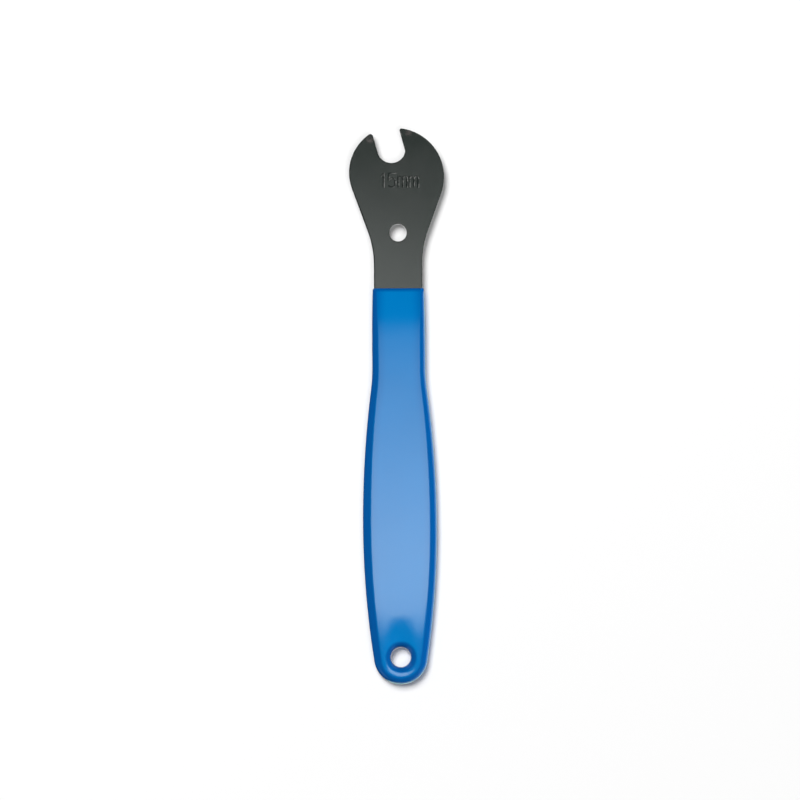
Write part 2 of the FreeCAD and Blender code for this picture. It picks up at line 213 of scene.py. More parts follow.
@dataclass
class Shell:
    """Vertices, faces and point values that are gathered and then made one closed mesh.

    Attributes:
        points: The vertices of each sheet.
        faces: Vertex numbers of each face.
        values: What each sheet's vertices carry, by name.
        count: Vertices so far.
    """

    points: list[np.ndarray] = field(default_factory=list)
    faces: list[list[int]] = field(default_factory=list)
    values: dict[str, list[np.ndarray]] = field(default_factory=dict)
    count: int = 0

    def add(self, points: np.ndarray, faces: np.ndarray, **values: np.ndarray) -> None:
        """Adds a sheet of the shell, its faces numbered from its own first vertex.

        Args:
            points: X, Y and Z of each vertex, in an array of any shape.
            faces: One row of vertex numbers for each face.
            values: What each vertex carries, under the name of the mesh's attribute.
        """
        flat = points.reshape(-1, 3)
        self.points.append(flat)
        self.faces += (faces + self.count).tolist()
        for name, value in values.items():
            spread = np.broadcast_to(value, points.shape[:-1]).reshape(-1)
            self.values.setdefault(name, []).append(spread)
        self.count += len(flat)

    def make(self, name: str) -> bpy.types.Object:
        """Makes the mesh, with doubles merged, no flat faces, and every face turned outwards.

        Args:
            name: Name of the piece.

        Returns:
            The piece, at the origin.
        """
        mesh = bpy.data.meshes.new(name)
        mesh.from_pydata((np.concatenate(self.points) * MM).tolist(), [], self.faces)
        for key, value in self.values.items():
            layer = mesh.attributes.new(key, "FLOAT", "POINT")
            layer.data.foreach_set("value", np.concatenate(value).astype(np.float32))
        work = bmesh.new()
        work.from_mesh(mesh)
        bmesh.ops.remove_doubles(work, verts=work.verts, dist=WELD)
        bmesh.ops.dissolve_degenerate(work, edges=work.edges, dist=WELD / 10)
        bmesh.ops.recalc_face_normals(work, faces=work.faces)
        if work.calc_volume(signed=True) < 0:
            bmesh.ops.reverse_faces(work, faces=work.faces)
        open_edges = sum(not edge.is_manifold for edge in work.edges)
        log.info("%s: %d faces, %d open edges, %.2f cm3", name, len(work.faces), open_edges,
                 work.calc_volume() * 1e6)
        work.to_mesh(mesh)
        work.free()
        mesh.shade_smooth()
        piece = bpy.data.objects.new(name, mesh)
        bpy.context.scene.collection.objects.link(piece)
        return piece


@dataclass(frozen=True)
class Handle:
    """The paddle that the steel tang and the vinyl dip share, about the wrench's own axis.

    Every station is a drop below the jaw's centre. The outline is made of arcs that meet smoothly.

    Attributes:
        axis: X of the wrench's axis, from the jaw's centre.
        neck_width: Width of the steel's straight neck.
        neck_run: Straight neck between the lip's taper and the waist.
        waist_radius: Hollow arc from the neck to the palm.
        palm_width: Greatest width of the tang.
        palm_drop: Where the tang is widest.
        end_radius: Round end of the tang.
        tang_drop: The tang's lowest point.
        hang_radius: Hang hole in the steel, before its lining.
        hole_drop: Centre of the hang hole.
        lip_drop: Where the dip ends.
        lip_taper: How far below the lip the skin starts to thin.
        lip_thinning: How much thinner it is at the lip.
        skin: Thickness of the vinyl.
    """

    axis: float = 3.7
    neck_width: float = 26.5
    neck_run: float = 14.8
    waist_radius: float = 101.0
    palm_width: float = 37.9
    palm_drop: float = 206.4
    end_radius: float = 13.4
    tang_drop: float = 292.2
    hang_radius: float = 6.6
    hole_drop: float = 278.8
    lip_drop: float = 76.6
    lip_taper: float = 28.0
    lip_thinning: float = 0.5
    skin: float = 1.3

    def arcs(self, grow: float) -> dict[str, float]:
        """The numbers of the outline's arcs, grown outwards from the steel.

        Args:
            grow: How far the outline stands outside the steel.

        Returns:
            Half widths, radii, stations and angles by name.
        """
        end_r = self.end_radius + grow
        palm, neck = self.palm_width / 2 + grow, self.neck_width / 2 + grow
        waist_r = self.waist_radius - grow
        end_y, palm_y = -self.tang_drop + self.end_radius, -self.palm_drop
        waist_y = -self.lip_drop - self.lip_taper - self.neck_run
        rise, reach = palm_y - end_y, waist_y - palm_y
        palm_r = (palm**2 + rise**2 - end_r**2) / (2 * (palm - end_r))
        both = (reach**2 + (palm - neck) ** 2) / (2 * (palm - neck))
        return {
            "end_r": end_r, "palm": palm, "neck": neck, "waist_r": waist_r, "end_y": end_y,
            "palm_y": palm_y, "waist_y": waist_y, "palm_r": palm_r, "shoulder_r": both - waist_r,
            "low": -math.degrees(math.asin(rise / (palm_r - end_r))),
            "high": math.degrees(math.asin(reach / both)),
        }

    def side(self, grow: float) -> Stretch:
        """The right-hand side, from the bottom of the round end up to the straight neck.

        Args:
            grow: How far the outline stands outside the steel.

        Returns:
            The side as end arc, swell, shoulder and waist.
        """
        a = self.arcs(grow)
        end = arc((0, a["end_y"]), a["end_r"], -90, a["low"])
        swell = arc((a["palm"] - a["palm_r"], a["palm_y"]), a["palm_r"], a["low"], 0)
        shoulder = arc((a["palm"] - a["shoulder_r"], a["palm_y"]), a["shoulder_r"], 0, a["high"])
        waist = arc((a["neck"] + a["waist_r"], a["waist_y"]), a["waist_r"], 180 + a["high"], 180, hollow=True)
        return end.then(swell, shoulder, waist)

    def depth(self, points: np.ndarray, grow: float) -> np.ndarray:
        """How far points of the lower handle lie inside its outline.

        It is the end arc's radius less the distance from its centre, or above the end arc the swell's
        radius less the distance from the swell's centre.

        Args:
            points: X and Y of each point, about the wrench's axis.
            grow: How far the outline stands outside the steel.

        Returns:
            One depth for each point.
        """
        a = self.arcs(grow)
        x, y = np.abs(points[..., 0]), points[..., 1]
        round_end = a["end_r"] - np.hypot(x, y - a["end_y"])
        swell = a["palm_r"] - np.hypot(x - a["palm"] + a["palm_r"], y - a["palm_y"])
        in_end = np.degrees(np.arctan2(y - a["end_y"], x)) < a["low"]
        return np.where(in_end, round_end, swell)


@dataclass(frozen=True)
class Head:
    """The bare head: two outer arcs, two flanks, the tilted jaw and the round hole below it.

    Attributes:
        jaw_across: Between the jaw's flats.
        jaw_tilt: Lean of the jaw from the wrench's axis, in degrees.
        root_offset: The round root's centre from the middle of the jaw.
        root_round: Rounding of the corner between the longer tip's flat and the root.
        long_tip_round: Rounding of the longer tip.
        short_tip_round: Rounding of the shorter tip.
        long_radius: Outer arc of the side with the longer tip.
        short_radius: Outer arc of the other side.
        lobe_offset: Centres of the outer arcs from the wrench's axis.
        flank_angle: Spread of the flanks from the axis, in degrees.
        flank_drop: Where a flank's line meets the neck's line.
        flank_blend: Arc between the neck and a flank.
        hole_radius: Round hole in the lower part of the head.
        hole_drop: Centre of that hole.
    """

    jaw_across: float = 15.1
    jaw_tilt: float = 15.0
    root_offset: float = 0.3
    root_round: float = 1.2
    long_tip_round: float = 0.8
    short_tip_round: float = 1.5
    long_radius: float = 26.8
    short_radius: float = 25.3
    lobe_offset: float = 1.25
    flank_angle: float = 20.0
    flank_drop: float = 53.9
    flank_blend: float = 54.0
    hole_radius: float = 4.75
    hole_drop: float = 46.1

    def flank(self, neck: float, radius: float, side: int,
              foot: float) -> tuple[Stretch, tuple[float, float]]:
        """One side of the head below its outer arc, as on the right, and that arc's centre.

        Args:
            neck: Half the neck's width.
            radius: Radius of the outer arc.
            side: 1 for the right-hand side and -1 for the left.
            foot: Y of the side's lowest point.

        Returns:
            The neck's line, the hollow blend and the flank, and the centre mirrored to the right.
        """
        angle = math.radians(self.flank_angle)
        blend_y = -self.flank_drop - self.flank_blend * math.tan(angle / 2)
        centre_x = -side * self.lobe_offset
        centre_y = -self.flank_drop + (radius - (neck - centre_x) * math.cos(angle)) / math.sin(angle)
        blend = arc((neck + self.flank_blend, blend_y), self.flank_blend, 180, 180 - self.flank_angle,
                    hollow=True)
        top = (centre_x + radius * math.cos(angle), centre_y - radius * math.sin(angle))
        stretch = line((neck, foot), (neck, blend_y)).then(blend, line(tuple(blend.points[-1]), top))
        return stretch, (centre_x, centre_y)

    def jaw(self, centres: dict[int, tuple[float, float]],
            shift: float) -> tuple[Stretch, dict[int, float]]:
        """The jaw from tip to tip, in the plate's frame, with the solid on its left.

        Each tip's rounding touches the flat and the outer arc from inside. The root touches the flat of
        the shorter tip, and a small rounding fills the corner where it meets the other flat.

        Args:
            centres: Centre of each side's outer arc about the wrench's axis, by side.
            shift: X of the wrench's axis from the jaw's centre.

        Returns:
            The stretch, and the angle at which each side's outer arc meets its tip, in degrees.
        """
        half, tilt = self.jaw_across / 2, math.radians(self.jaw_tilt)
        cos, sin = math.cos(tilt), math.sin(tilt)
        tips, meets = {}, {}
        rounds = {1: (self.long_tip_round, self.long_radius), -1: (self.short_tip_round, self.short_radius)}
        for side, (small, large) in rounds.items():
            cx, cy = centres[side][0] + shift, centres[side][1]
            lobe = (cx * cos + cy * sin, cy * cos - cx * sin)
            x = side * (half + small)
            y = lobe[1] + math.sqrt((large - small) ** 2 - (x - lobe[0]) ** 2)
            lean = math.degrees(math.atan2(y - lobe[1], x - lobe[0]))
            tips[side] = (x, y, small, lean)
            meets[side] = lean + self.jaw_tilt
        root_r = half + self.root_offset
        fill_x = half - self.root_round
        fill_y = -math.sqrt((root_r - self.root_round) ** 2 - (fill_x - self.root_offset) ** 2)
        fill = math.degrees(math.atan2(fill_y, fill_x - self.root_offset))
        x, y, small, lean = tips[1]
        long_tip = arc((x, y), small, lean, 180)
        long_flat = line((half, y), (half, fill_y))
        corner = arc((fill_x, fill_y), self.root_round, 0, fill, hollow=True)
        root = arc((self.root_offset, 0), root_r, fill, -180, hollow=True)
        x, y, small, lean = tips[-1]
        short_flat = line((-half, 0), (-half, y))
        short_tip = arc((x, y), small, 0, lean)
        whole = long_tip.then(long_flat, corner, root, short_flat, short_tip)
        return whole.moved(self.jaw_tilt, (0, 0)), meets


@dataclass(frozen=True)
class SizeMark:
    """The jaw's size, stamped into the plate as narrow rounded grooves.

    Attributes:
        left: X of the mark's left edge, about the wrench's axis.
        base: Y of the line that the figures stand on.
        tall: Height of the figures.
        low: Height of the two small letters.
        groove: Half the width of a groove.
        depth: Depth of a groove.
        burr: Height of the metal pushed up beside a groove.
        highlight_shift: How far the painted highlight beside each groove is moved from it, along X and Y.
        margin: Plain face round the mark that is on its grid.
        pitch: Step of that grid.
    """

    left: float = -9.45
    base: float = -20.95
    tall: float = 7.7
    low: float = 5.9
    groove: float = 0.28
    depth: float = 0.3
    burr: float = 0.02
    highlight_shift: tuple[float, float] = (0.48, -0.26)
    margin: float = 1.3
    pitch: float = 0.11

    def strokes(self) -> list[np.ndarray]:
        """The centre lines of a one, a five and two small letters m, from the mark's own corner.

        Returns:
            X and Y along each line.
        """
        tall, low = self.tall, self.low
        bowl_r, bowl_x = 0.32 * tall, 6.0
        turn = np.radians(np.linspace(128, -142, 22))
        bowl = np.stack([bowl_x + 0.8 * bowl_r * np.cos(turn), bowl_r + bowl_r * np.sin(turn)], axis=1)
        strokes = [
            np.array([[0.2, 0.8 * tall], [1.5, tall], [1.5, 0]]),
            np.concatenate([[[7.9, tall], [4.5, tall], [4.3, 0.52 * tall]], bowl]),
        ]
        span, spring = 2.4, 1.3
        arch = np.radians(np.linspace(180, 0, 11))
        for foot in (9.6, 15.7):
            strokes.append(np.array([[foot, 0], [foot, low]]))
            for left in (foot, foot + span):
                x = left + 0.5 * span * (1 + np.cos(arch))
                top = np.stack([x, low - spring + spring * np.sin(arch)], axis=1)
                strokes.append(np.concatenate([top, [[left + span, 0]]]))
        return strokes

    def distance(self, points: np.ndarray) -> np.ndarray:
        """How far each point lies from the nearest centre line.

        It is the least distance to any straight piece of the strokes, each found by dropping the point
        onto the piece and holding the foot between the piece's ends.

        Args:
            points: X and Y of each point, about the wrench's axis.

        Returns:
            One distance for each point.
        """
        corner = np.array([self.left, self.base])
        starts = np.concatenate([stroke[:-1] for stroke in self.strokes()]) + corner
        ends = np.concatenate([stroke[1:] for stroke in self.strokes()]) + corner
        run = ends - starts
        flat = points.reshape(-1, 1, 2)
        share = np.clip(((flat - starts) * run).sum(-1) / (run * run).sum(-1), 0, 1)
        gap = flat - (starts + share[..., None] * run)
        return np.sqrt((gap * gap).sum(-1)).min(1).reshape(points.shape[:-1])

    def field(self) -> np.ndarray:
        """X and Y over a rectangle round the mark, on an even grid.

        Returns:
            One row of points for each Y.
        """
        width = max(stroke[:, 0].max() for stroke in self.strokes())
        x = np.arange(self.left - self.margin, self.left + width + self.margin, self.pitch)
        y = np.arange(self.base - self.margin, self.base + self.tall + self.margin, self.pitch)
        return np.stack(np.meshgrid(x, y), axis=-1)

    def painted_highlight(self, points: np.ndarray) -> np.ndarray:
        """Share of painted highlight: the strokes' own shape, moved a little to the lower right of each
        groove.
        """
        gap = self.distance(points - np.array(self.highlight_shift))
        return np.clip(1.2 - (gap / self.groove) ** 2, 0, 1)

    def darkened(self, gap: np.ndarray) -> np.ndarray:
        """Share of the groove's dark floor: an even step that ends a little outside the groove."""
        return smooth(1.15 - gap / self.groove)

    def relief(self, gap: np.ndarray) -> np.ndarray:
        """Height over the plate's face: a rounded groove, and a faint burr where the metal was pushed up.

        The groove is its depth times 1 minus the square of the distance's share of its half width, to a
        power of 1.5. The burr is a like bump of twice that power round 1.5 half widths.

        Args:
            gap: Distance of each point from the nearest centre line.

        Returns:
            One height for each point.
        """
        share = gap / self.groove
        sunk = -self.depth * np.clip(1 - share**2, 0, 1) ** 1.5
        raised = self.burr * np.clip(1 - ((share - 1.5) / 0.55) ** 2, 0, 1) ** 2
        return sunk + raised


@dataclass(frozen=True)
class BlackenedSteel:
    """Black oxide on tumbled plate: satin, faintly green, with a fine grain and rims worn lighter.

    Attributes:
        base: The blacking.
        patch: The cloudier places in it.
        worn: Metal that shows on the rims.
        rubbed: The brownish places at the jaw's tips.
        painted_highlight_tone: A painted highlight on the lower right of each stamped groove.
        deep: The floor of the grooves.
        tips: Centre and reach of each rubbed place, in metres.
    """

    base: Colour = (0.0095, 0.0150, 0.0125, 1)
    patch: Colour = (0.0135, 0.0180, 0.0160, 1)
    worn: Colour = (0.22, 0.22, 0.21, 1)
    rubbed: Colour = (0.066, 0.057, 0.055, 1)
    painted_highlight_tone: Colour = (0.15, 0.15, 0.145, 1)
    deep: Colour = (0.007, 0.010, 0.009, 1)
    tips: tuple[tuple[tuple[float, float, float], float], ...] = (
        ((-0.0115, 0.0052, 0.0024), 0.0030), ((0.0098, 0.0090, 0.0024), 0.0028))

    def make(self) -> bpy.types.Material:
        """Builds the nodes: two scales of cloudy colour, a grain in its height, and three masks of the mesh.

        Returns:
            The material.
        """
        m = Nodes("blackened_steel")
        cloud = m.noise(scale=42, detail=4, rough=0.6)
        fleck = m.noise(scale=420, detail=3, rough=0.7)
        grain = m.noise(scale=2600, detail=2, rough=0.5)
        colour = m.mix(m.span(cloud, 0.42, 0.72), self.base, self.patch)
        colour = m.mix(m.span(fleck, 0.60, 0.90, 0, 0.30), colour, self.patch)
        wear = m.times(m.mask("rim"), m.span(fleck, 0.46, 0.74))
        colour = m.mix(m.span(wear, 0.0, 1.0, 0, 0.8), colour, self.worn)
        for tip, reach in self.tips:
            rubbed = m.times(m.near(tip, reach), m.span(fleck, 0.35, 0.60, 0.15, 1.0))
            colour = m.mix(rubbed, colour, self.rubbed)
        # Painted highlight: a light metal tone on the lower right of each stamped groove, broken up by the
        # fleck noise.
        painted_highlight = m.times(m.mask("burr"), m.span(fleck, 0.42, 0.60))
        colour = m.mix(painted_highlight, colour, self.painted_highlight_tone)
        colour = m.mix(m.mask("mark"), colour, self.deep)
        return m.dress(Base_Color=colour, Roughness=m.span(cloud, 0.3, 0.75, 0.18, 0.22),
                       Normal=m.bump(fleck, 0.05, 0.00004, m.bump(grain, 0.25, 0.00002)),
                       Metallic=0.0, IOR=1.8)


@dataclass(frozen=True)
class DippedVinyl:
    """Glossy plastisol: even blue, with painted shade where the skin turns over, and the faint waves of a
    dip.

    Attributes:
        face: The flat faces.
        drift: The slightly deeper places in them.
        turned: Painted shade on the sides, the lip and the wall of the hang hole.
    """

    face: Colour = (0.0, 0.168, 0.465, 1)
    drift: Colour = (0.0, 0.160, 0.445, 1)
    turned: Colour = (0.0, 0.078, 0.290, 1)

    def make(self) -> bpy.types.Material:
        """Builds the nodes: a slow drift of colour, painted shade on the sides, and a soft unevenness in its
        height.

        Returns:
            The material.
        """
        m = Nodes("dipped_vinyl")
        drift = m.noise(scale=26, detail=2, rough=0.5)
        peel = m.noise(scale=520, detail=2, rough=0.4)
        dust = m.noise(scale=3200, detail=1, rough=0.5)
        colour = m.mix(m.span(drift, 0.35, 0.7), self.face, self.drift)
        # Painted shade: the side mask darkens the rounded sides, the lip and the hang hole's wall.
        colour = m.mix(m.mask("side"), colour, self.turned)
        return m.dress(Base_Color=colour, Roughness=m.span(dust, 0.35, 0.8, 0.06, 0.085),
                       Normal=m.bump(drift, 0.12, 0.0004, m.bump(peel, 0.06, 0.00004)), IOR=1.5)


@dataclass(frozen=True)
class WhitePaper:
    """The table's matt white, without any gloss.

    Attributes:
        white: Its colour.
    """

    white: Colour = (0.88, 0.88, 0.88, 1)

    def make(self) -> bpy.types.Material:
        """The material, the same all over."""
        return Nodes("white_paper").dress(Base_Color=self.white, Roughness=0.9, Specular_IOR_Level=0.0)


@dataclass(frozen=True)
class Glow:
    """A card's light, whose strength follows stops along one axis and a share along X.

    Attributes:
        name: Name of the material.
        axis: The axis of the stops, Y or Z.
        stops: Coordinate in metres and strength at each stop.
        sides: Coordinate along X in metres and share at each stop.
        tint: Colour of the light.
    """

    name: str
    axis: str
    stops: Curve
    sides: Curve
    tint: Tint

    def make(self) -> bpy.types.Material:
        """Builds the nodes: the product of the two curves, as the strength of an emission.

        Returns:
            The material.
        """
        m = Nodes(self.name)
        place = m.add("SeparateXYZ", Vector=m.place)
        along = m.curve(place.outputs[self.axis], self.stops, "LINEAR")
        across = m.curve(place.outputs["X"], self.sides, "EASE")
        shine = m.add("Emission", Color=self.tint.value, Strength=m.times(along, across))
        m.tree.nodes.remove(m.shader)
        m.link(shine.outputs["Emission"], m.tree.nodes["Material Output"].inputs["Surface"])
        return m.material


class Nodes:
    """A material's node tree, with short names for the few nodes that the finishes need."""

    def __init__(self, name: str) -> None:
        """Starts a material with its Principled shader and the object's own coordinates.

        Args:
            name: Name of the material.
        """
        self.material = bpy.data.materials.new(name)
        self.material.use_nodes = True
        self.tree = self.material.node_tree
        self.shader = self.tree.nodes["Principled BSDF"]
        self.place = self.add("TexCoord").outputs["Object"]

    def link(self, value: object, socket: bpy.types.NodeSocket) -> None:
        """Joins an output to a socket, or sets a plain number or colour on it.

        Args:
            value: The output, number or colour.
            socket: The input that takes it.
        """
        if isinstance(value, bpy.types.NodeSocket):
            self.tree.links.new(value, socket)
        else:
            socket.default_value = value

    def feed(self, node: bpy.types.Node, **inputs: object) -> bpy.types.Node:
        """Feeds a node's inputs by their names, with _ for a space, and gives it back.

        Args:
            node: The node.
            inputs: An output, a number or a colour for each named input.

        Returns:
            The node.
        """
        for name, value in inputs.items():
            self.link(value, node.inputs[name.replace("_", " ")])
        return node

    def add(self, kind: str, **inputs: object) -> bpy.types.Node:
        """Adds a node of a kind, with inputs fed by their names."""
        return self.feed(self.tree.nodes.new("ShaderNode" + kind), **inputs)

    def dress(self, **inputs: object) -> bpy.types.Material:
        """Feeds the shader's inputs by their names, and gives the finished material."""
        self.feed(self.shader, **inputs)
        return self.material

    def noise(self, scale: float, detail: float, rough: float) -> bpy.types.NodeSocket:
        """A noise over the object's coordinates, in metres."""
        node = self.add("TexNoise", Vector=self.place, Scale=scale, Detail=detail, Roughness=rough)
        return node.outputs["Fac"]

    def mask(self, name: str) -> bpy.types.NodeSocket:
        """A value that the mesh carries at its points.

        Args:
            name: Name of the mesh's attribute.

        Returns:
            The value.
        """
        node = self.add("Attribute")
        node.attribute_name = name
        return node.outputs["Fac"]

    def near(self, point: tuple[float, float, float], reach: float) -> bpy.types.NodeSocket:
        """How near a place lies to a point: 1 at it and 0 at the reach, in metres.

        Args:
            point: The point, in the object's coordinates.
            reach: Distance at which it ends.

        Returns:
            The share.
        """
        node = self.add("VectorMath")
        node.operation = "DISTANCE"
        self.link(self.place, node.inputs[0])
        self.link(point, node.inputs[1])
        return self.span(node.outputs["Value"], 0.0, reach, 1.0, 0.0)

    def span(self, value: bpy.types.NodeSocket, low: float, high: float,
             to_low: float = 0.0, to_high: float = 1.0) -> bpy.types.NodeSocket:
        """A value's range from low to high, spread smoothly over another range and held there.

        Args:
            value: The value.
            low: Where its range starts.
            high: Where it ends.
            to_low: The result at the start, and below it.
            to_high: The result at the end, and above it.

        Returns:
            The result.
        """
        node = self.add("MapRange", Value=value, From_Min=low, From_Max=high, To_Min=to_low, To_Max=to_high)
        node.interpolation_type = "SMOOTHSTEP"
        return node.outputs["Result"]

    def curve(self, value: bpy.types.NodeSocket, stops: Curve, easing: str) -> bpy.types.NodeSocket:
        """A value's way through stops, held before the first and past the last.

        Args:
            value: What runs from the first stop's place to the last one's.
            stops: Place and height of each stop.
            easing: How it goes from stop to stop, LINEAR or EASE.

        Returns:
            The height.
        """
        low, high = stops[0][0], stops[-1][0]
        most = max(height for _, height in stops)
        share = self.add("MapRange", Value=value, From_Min=low, From_Max=high)
        ramp = self.add("ValToRGB", Fac=share.outputs["Result"])
        ramp.color_ramp.interpolation = easing
        elements = ramp.color_ramp.elements
        for _ in stops[2:]:
            elements.new(0.5)
        for element, (place, height) in zip(elements, stops):
            element.position = (place - low) / (high - low)
            element.color = (height / most, height / most, height / most, 1)
        return self.times(ramp.outputs["Color"], most)

    def times(self, first: object, second: object) -> bpy.types.NodeSocket:
        """The product of two values.

        Args:
            first: An output or a number.
            second: Another one.

        Returns:
            The product.
        """
        node = self.add("Math")
        node.operation = "MULTIPLY"
        self.link(first, node.inputs[0])
        self.link(second, node.inputs[1])
        return node.outputs[0]

    def mix(self, share: bpy.types.NodeSocket, first: object, second: object) -> bpy.types.NodeSocket:
        """A colour between two colours.

        Args:
            share: How much of the second it holds.
            first: A colour, or an output that gives one.
            second: Another one.

        Returns:
            The mixed colour.
        """
        node = self.add("Mix")
        node.data_type = "RGBA"
        sockets = [s for s in node.inputs if s.type == "RGBA"]
        self.link(share, node.inputs["Factor"])
        self.link(first, sockets[0])
        self.link(second, sockets[1])
        return next(s for s in node.outputs if s.type == "RGBA")

    def bump(self, height: bpy.types.NodeSocket, strength: float, distance: float,
             under: bpy.types.NodeSocket | None = None) -> bpy.types.NodeSocket:
        """A normal bent by a height, on top of another one where that is given.

        Args:
            height: The height, as a share of the distance.
            strength: How much of the bending shows.
            distance: The height's full size, in metres.
            under: The normal beneath, or None.

        Returns:
            The normal.
        """
        node = self.add("Bump", Height=height, Strength=strength, Distance=distance)
        if under is not None:
            self.link(under, node.inputs["Normal"])
        return node.outputs["Normal"]


@dataclass
class Blade:
    """The steel blade: one plate with its rims rounded, the jaw, two holes and the stamped size.

    Attributes:
        handle: The paddle's outline.
        head: The head's outline.
        mark: The stamped size.
        half: Half the plate's thickness.
        limits: Lowest and highest X, Y and Z that the plate may reach.
        rim: Rounding of its rims.
        guard: How far inside the rims the faces' first line stands.
        rim_steps: Divisions of each rounding.
    """

    handle: Handle
    head: Head
    mark: SizeMark
    half: float
    limits: tuple[np.ndarray, np.ndarray]
    rim: float = 0.5
    guard: float = 0.1
    rim_steps: int = 6

    def outline(self) -> Stretch:
        """The whole outline, run anticlockwise from the bottom of the round end.

        Returns:
            The outline, about the wrench's axis.
        """
        side = self.handle.side(0)
        neck, foot = self.handle.neck_width / 2, float(side.points[-1, 1])
        centres, flanks = {}, {}
        for hand, radius in ((1, self.head.long_radius), (-1, self.head.short_radius)):
            flanks[hand], centre = self.head.flank(neck, radius, hand, foot)
            centres[hand] = (hand * centre[0], centre[1])
        jaw, meets = self.head.jaw(centres, self.handle.axis)
        back = (-self.handle.axis, 0)
        angle = self.head.flank_angle
        long_lobe = arc(centres[1], self.head.long_radius, -angle, meets[1])
        short_lobe = arc(centres[-1], self.head.short_radius, meets[-1], 180 + angle)
        right = side.then(flanks[1], long_lobe, jaw.moved(0, back))
        return right.then(short_lobe, flanks[-1].mirrored(), side.mirrored())

    def loops(self) -> list[Stretch]:
        """The plate's outline and its two holes, each closed without repeating its first point.

        Returns:
            The outline first, then the head's hole and the hang hole.
        """
        head_hole = arc((0, -self.head.hole_drop), self.head.hole_radius, 0, -360, hollow=True)
        hang_hole = arc((0, -self.handle.hole_drop), self.handle.hang_radius, 0, -360, hollow=True)
        return [Stretch(s.points[:-1], s.normals[:-1]) for s in (self.outline(), head_hole, hang_hole)]

    def profile(self) -> tuple[np.ndarray, np.ndarray]:
        """The rim's section: how far in and how high, round from the upper face to the lower.

        Each rounding is a quarter circle of the rim's radius, and a guard line stands a little further
        in on each face, so that the faces keep their upright normals.

        Returns:
            Depths into the plate, and heights.
        """
        turn = np.linspace(0, np.pi / 2, self.rim_steps + 1)
        depth = self.rim * (1 - np.sin(turn))
        height = self.half - self.rim * (1 - np.cos(turn))
        depth = np.concatenate([[self.rim + self.guard], depth])
        height = np.concatenate([[self.half], height])
        return np.concatenate([depth, depth[::-1]]), np.concatenate([height, -height[::-1]])

    def wear(self, height: np.ndarray) -> np.ndarray:
        """How worn the rim is at a height: half a sine wave over each rounding, on a little everywhere.

        Args:
            height: Heights of the rim's section.

        Returns:
            One share for each height, and 0 on the two faces.
        """
        share = (np.abs(height) - self.half + self.rim) / self.rim
        return np.where(share >= 1, 0.0, 0.3 + 0.7 * np.sin(np.pi * share))

    def rims(self, shell: Shell, loop: Stretch) -> None:
        """Carries the rim's profile round one loop.

        Args:
            shell: The shell that takes the rim.
            loop: The outline or a hole.
        """
        depth, height = self.profile()
        flat = loop.points[None] - depth[:, None, None] * loop.normals[None]
        points = np.concatenate([flat, np.broadcast_to(height[:, None, None], flat[..., :1].shape)], axis=-1)
        shell.add(self.placed(points), grid_faces(len(depth), len(loop.points), loop=True),
                  rim=self.wear(height)[:, None], mark=0.0, burr=0.0)

    def placed(self, points: np.ndarray) -> np.ndarray:
        """Points moved from the wrench's axis to the jaw's centre, and held inside the limits."""
        return np.clip(points + np.array([self.handle.axis, 0, 0]), *self.limits)

    def cap(self, shell: Shell, loops: list[Stretch], window: np.ndarray | None, height: float) -> None:
        """Fills one face of the plate between its loops, round the mark's window where there is one.

        Args:
            shell: The shell that takes the face.
            loops: The outline first, then the holes.
            window: X and Y of the window's border, or None.
            height: Z of the face.
        """
        rings = [loop.inset(self.rim + self.guard) for loop in loops]
        if window is not None:
            rings.append(window)
        points = np.concatenate(rings)
        starts = np.cumsum([0] + [len(ring) for ring in rings])
        edges = [np.stack([np.arange(len(r)), np.roll(np.arange(len(r)), -1)], axis=1) + s
                 for r, s in zip(rings, starts)]
        found = delaunay_2d_cdt(points.tolist(), np.concatenate(edges).tolist(), [], 1, 1e-7)
        flat = np.array([tuple(v) for v in found[0]])
        faces = np.array([f for f in found[2] if len(f) == 3])
        middle = flat[faces].mean(1)
        keep = inside(middle, rings[0])
        for ring in rings[1:]:
            keep &= ~inside(middle, ring)
        solid = np.concatenate([flat, np.full((len(flat), 1), height)], axis=1)
        shell.add(self.placed(solid), faces[keep], rim=0.0, mark=0.0, burr=0.0)

    def build(self) -> bpy.types.Object:
        """Builds the plate: the rims of its loops, the stamped window, and both faces.

        Returns:
            The piece.
        """
        shell = Shell()
        loops = self.loops()
        for loop in loops:
            self.rims(shell, loop)
        grid = self.mark.field()
        gap = self.mark.distance(grid)
        height = self.half + self.mark.relief(gap)
        relief = np.concatenate([grid, height[..., None]], axis=-1)
        # The burr attribute carries a painted highlight on the lower right of each groove.
        shell.add(self.placed(relief), grid_faces(*gap.shape), rim=0.0, mark=self.mark.darkened(gap),
                  burr=self.mark.painted_highlight(grid))
        border = np.concatenate([grid[0, :-1], grid[:-1, -1], grid[-1, :0:-1], grid[:0:-1, 0]])
        self.cap(shell, loops, border, self.half)
        self.cap(shell, loops, None, -self.half)
        piece = shell.make("blade_plate")
        piece.data.materials.append(BlackenedSteel().make())
        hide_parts(Node.BLADE.value)
        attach(piece, "root")
        return piece


def inside(points: np.ndarray, ring: np.ndarray) -> np.ndarray:
    """Whether points lie inside a closed ring, by counting how often a ray to the right crosses it.

    Args:
        points: X and Y of each point.
        ring: X and Y of the ring's corners.

    Returns:
        One truth for each point.
    """
    ends = np.roll(ring, -1, axis=0)
    x, y = points[:, None, 0], points[:, None, 1]
    spans = (ring[None, :, 1] > y) != (ends[None, :, 1] > y)
    rise = np.where(ends[:, 1] == ring[:, 1], 1e-12, ends[:, 1] - ring[:, 1])
    cross = ring[None, :, 0] + (y - ring[None, :, 1]) / rise * (ends[:, 0] - ring[:, 0])
    return (spans & (cross > x)).sum(1) % 2 == 1


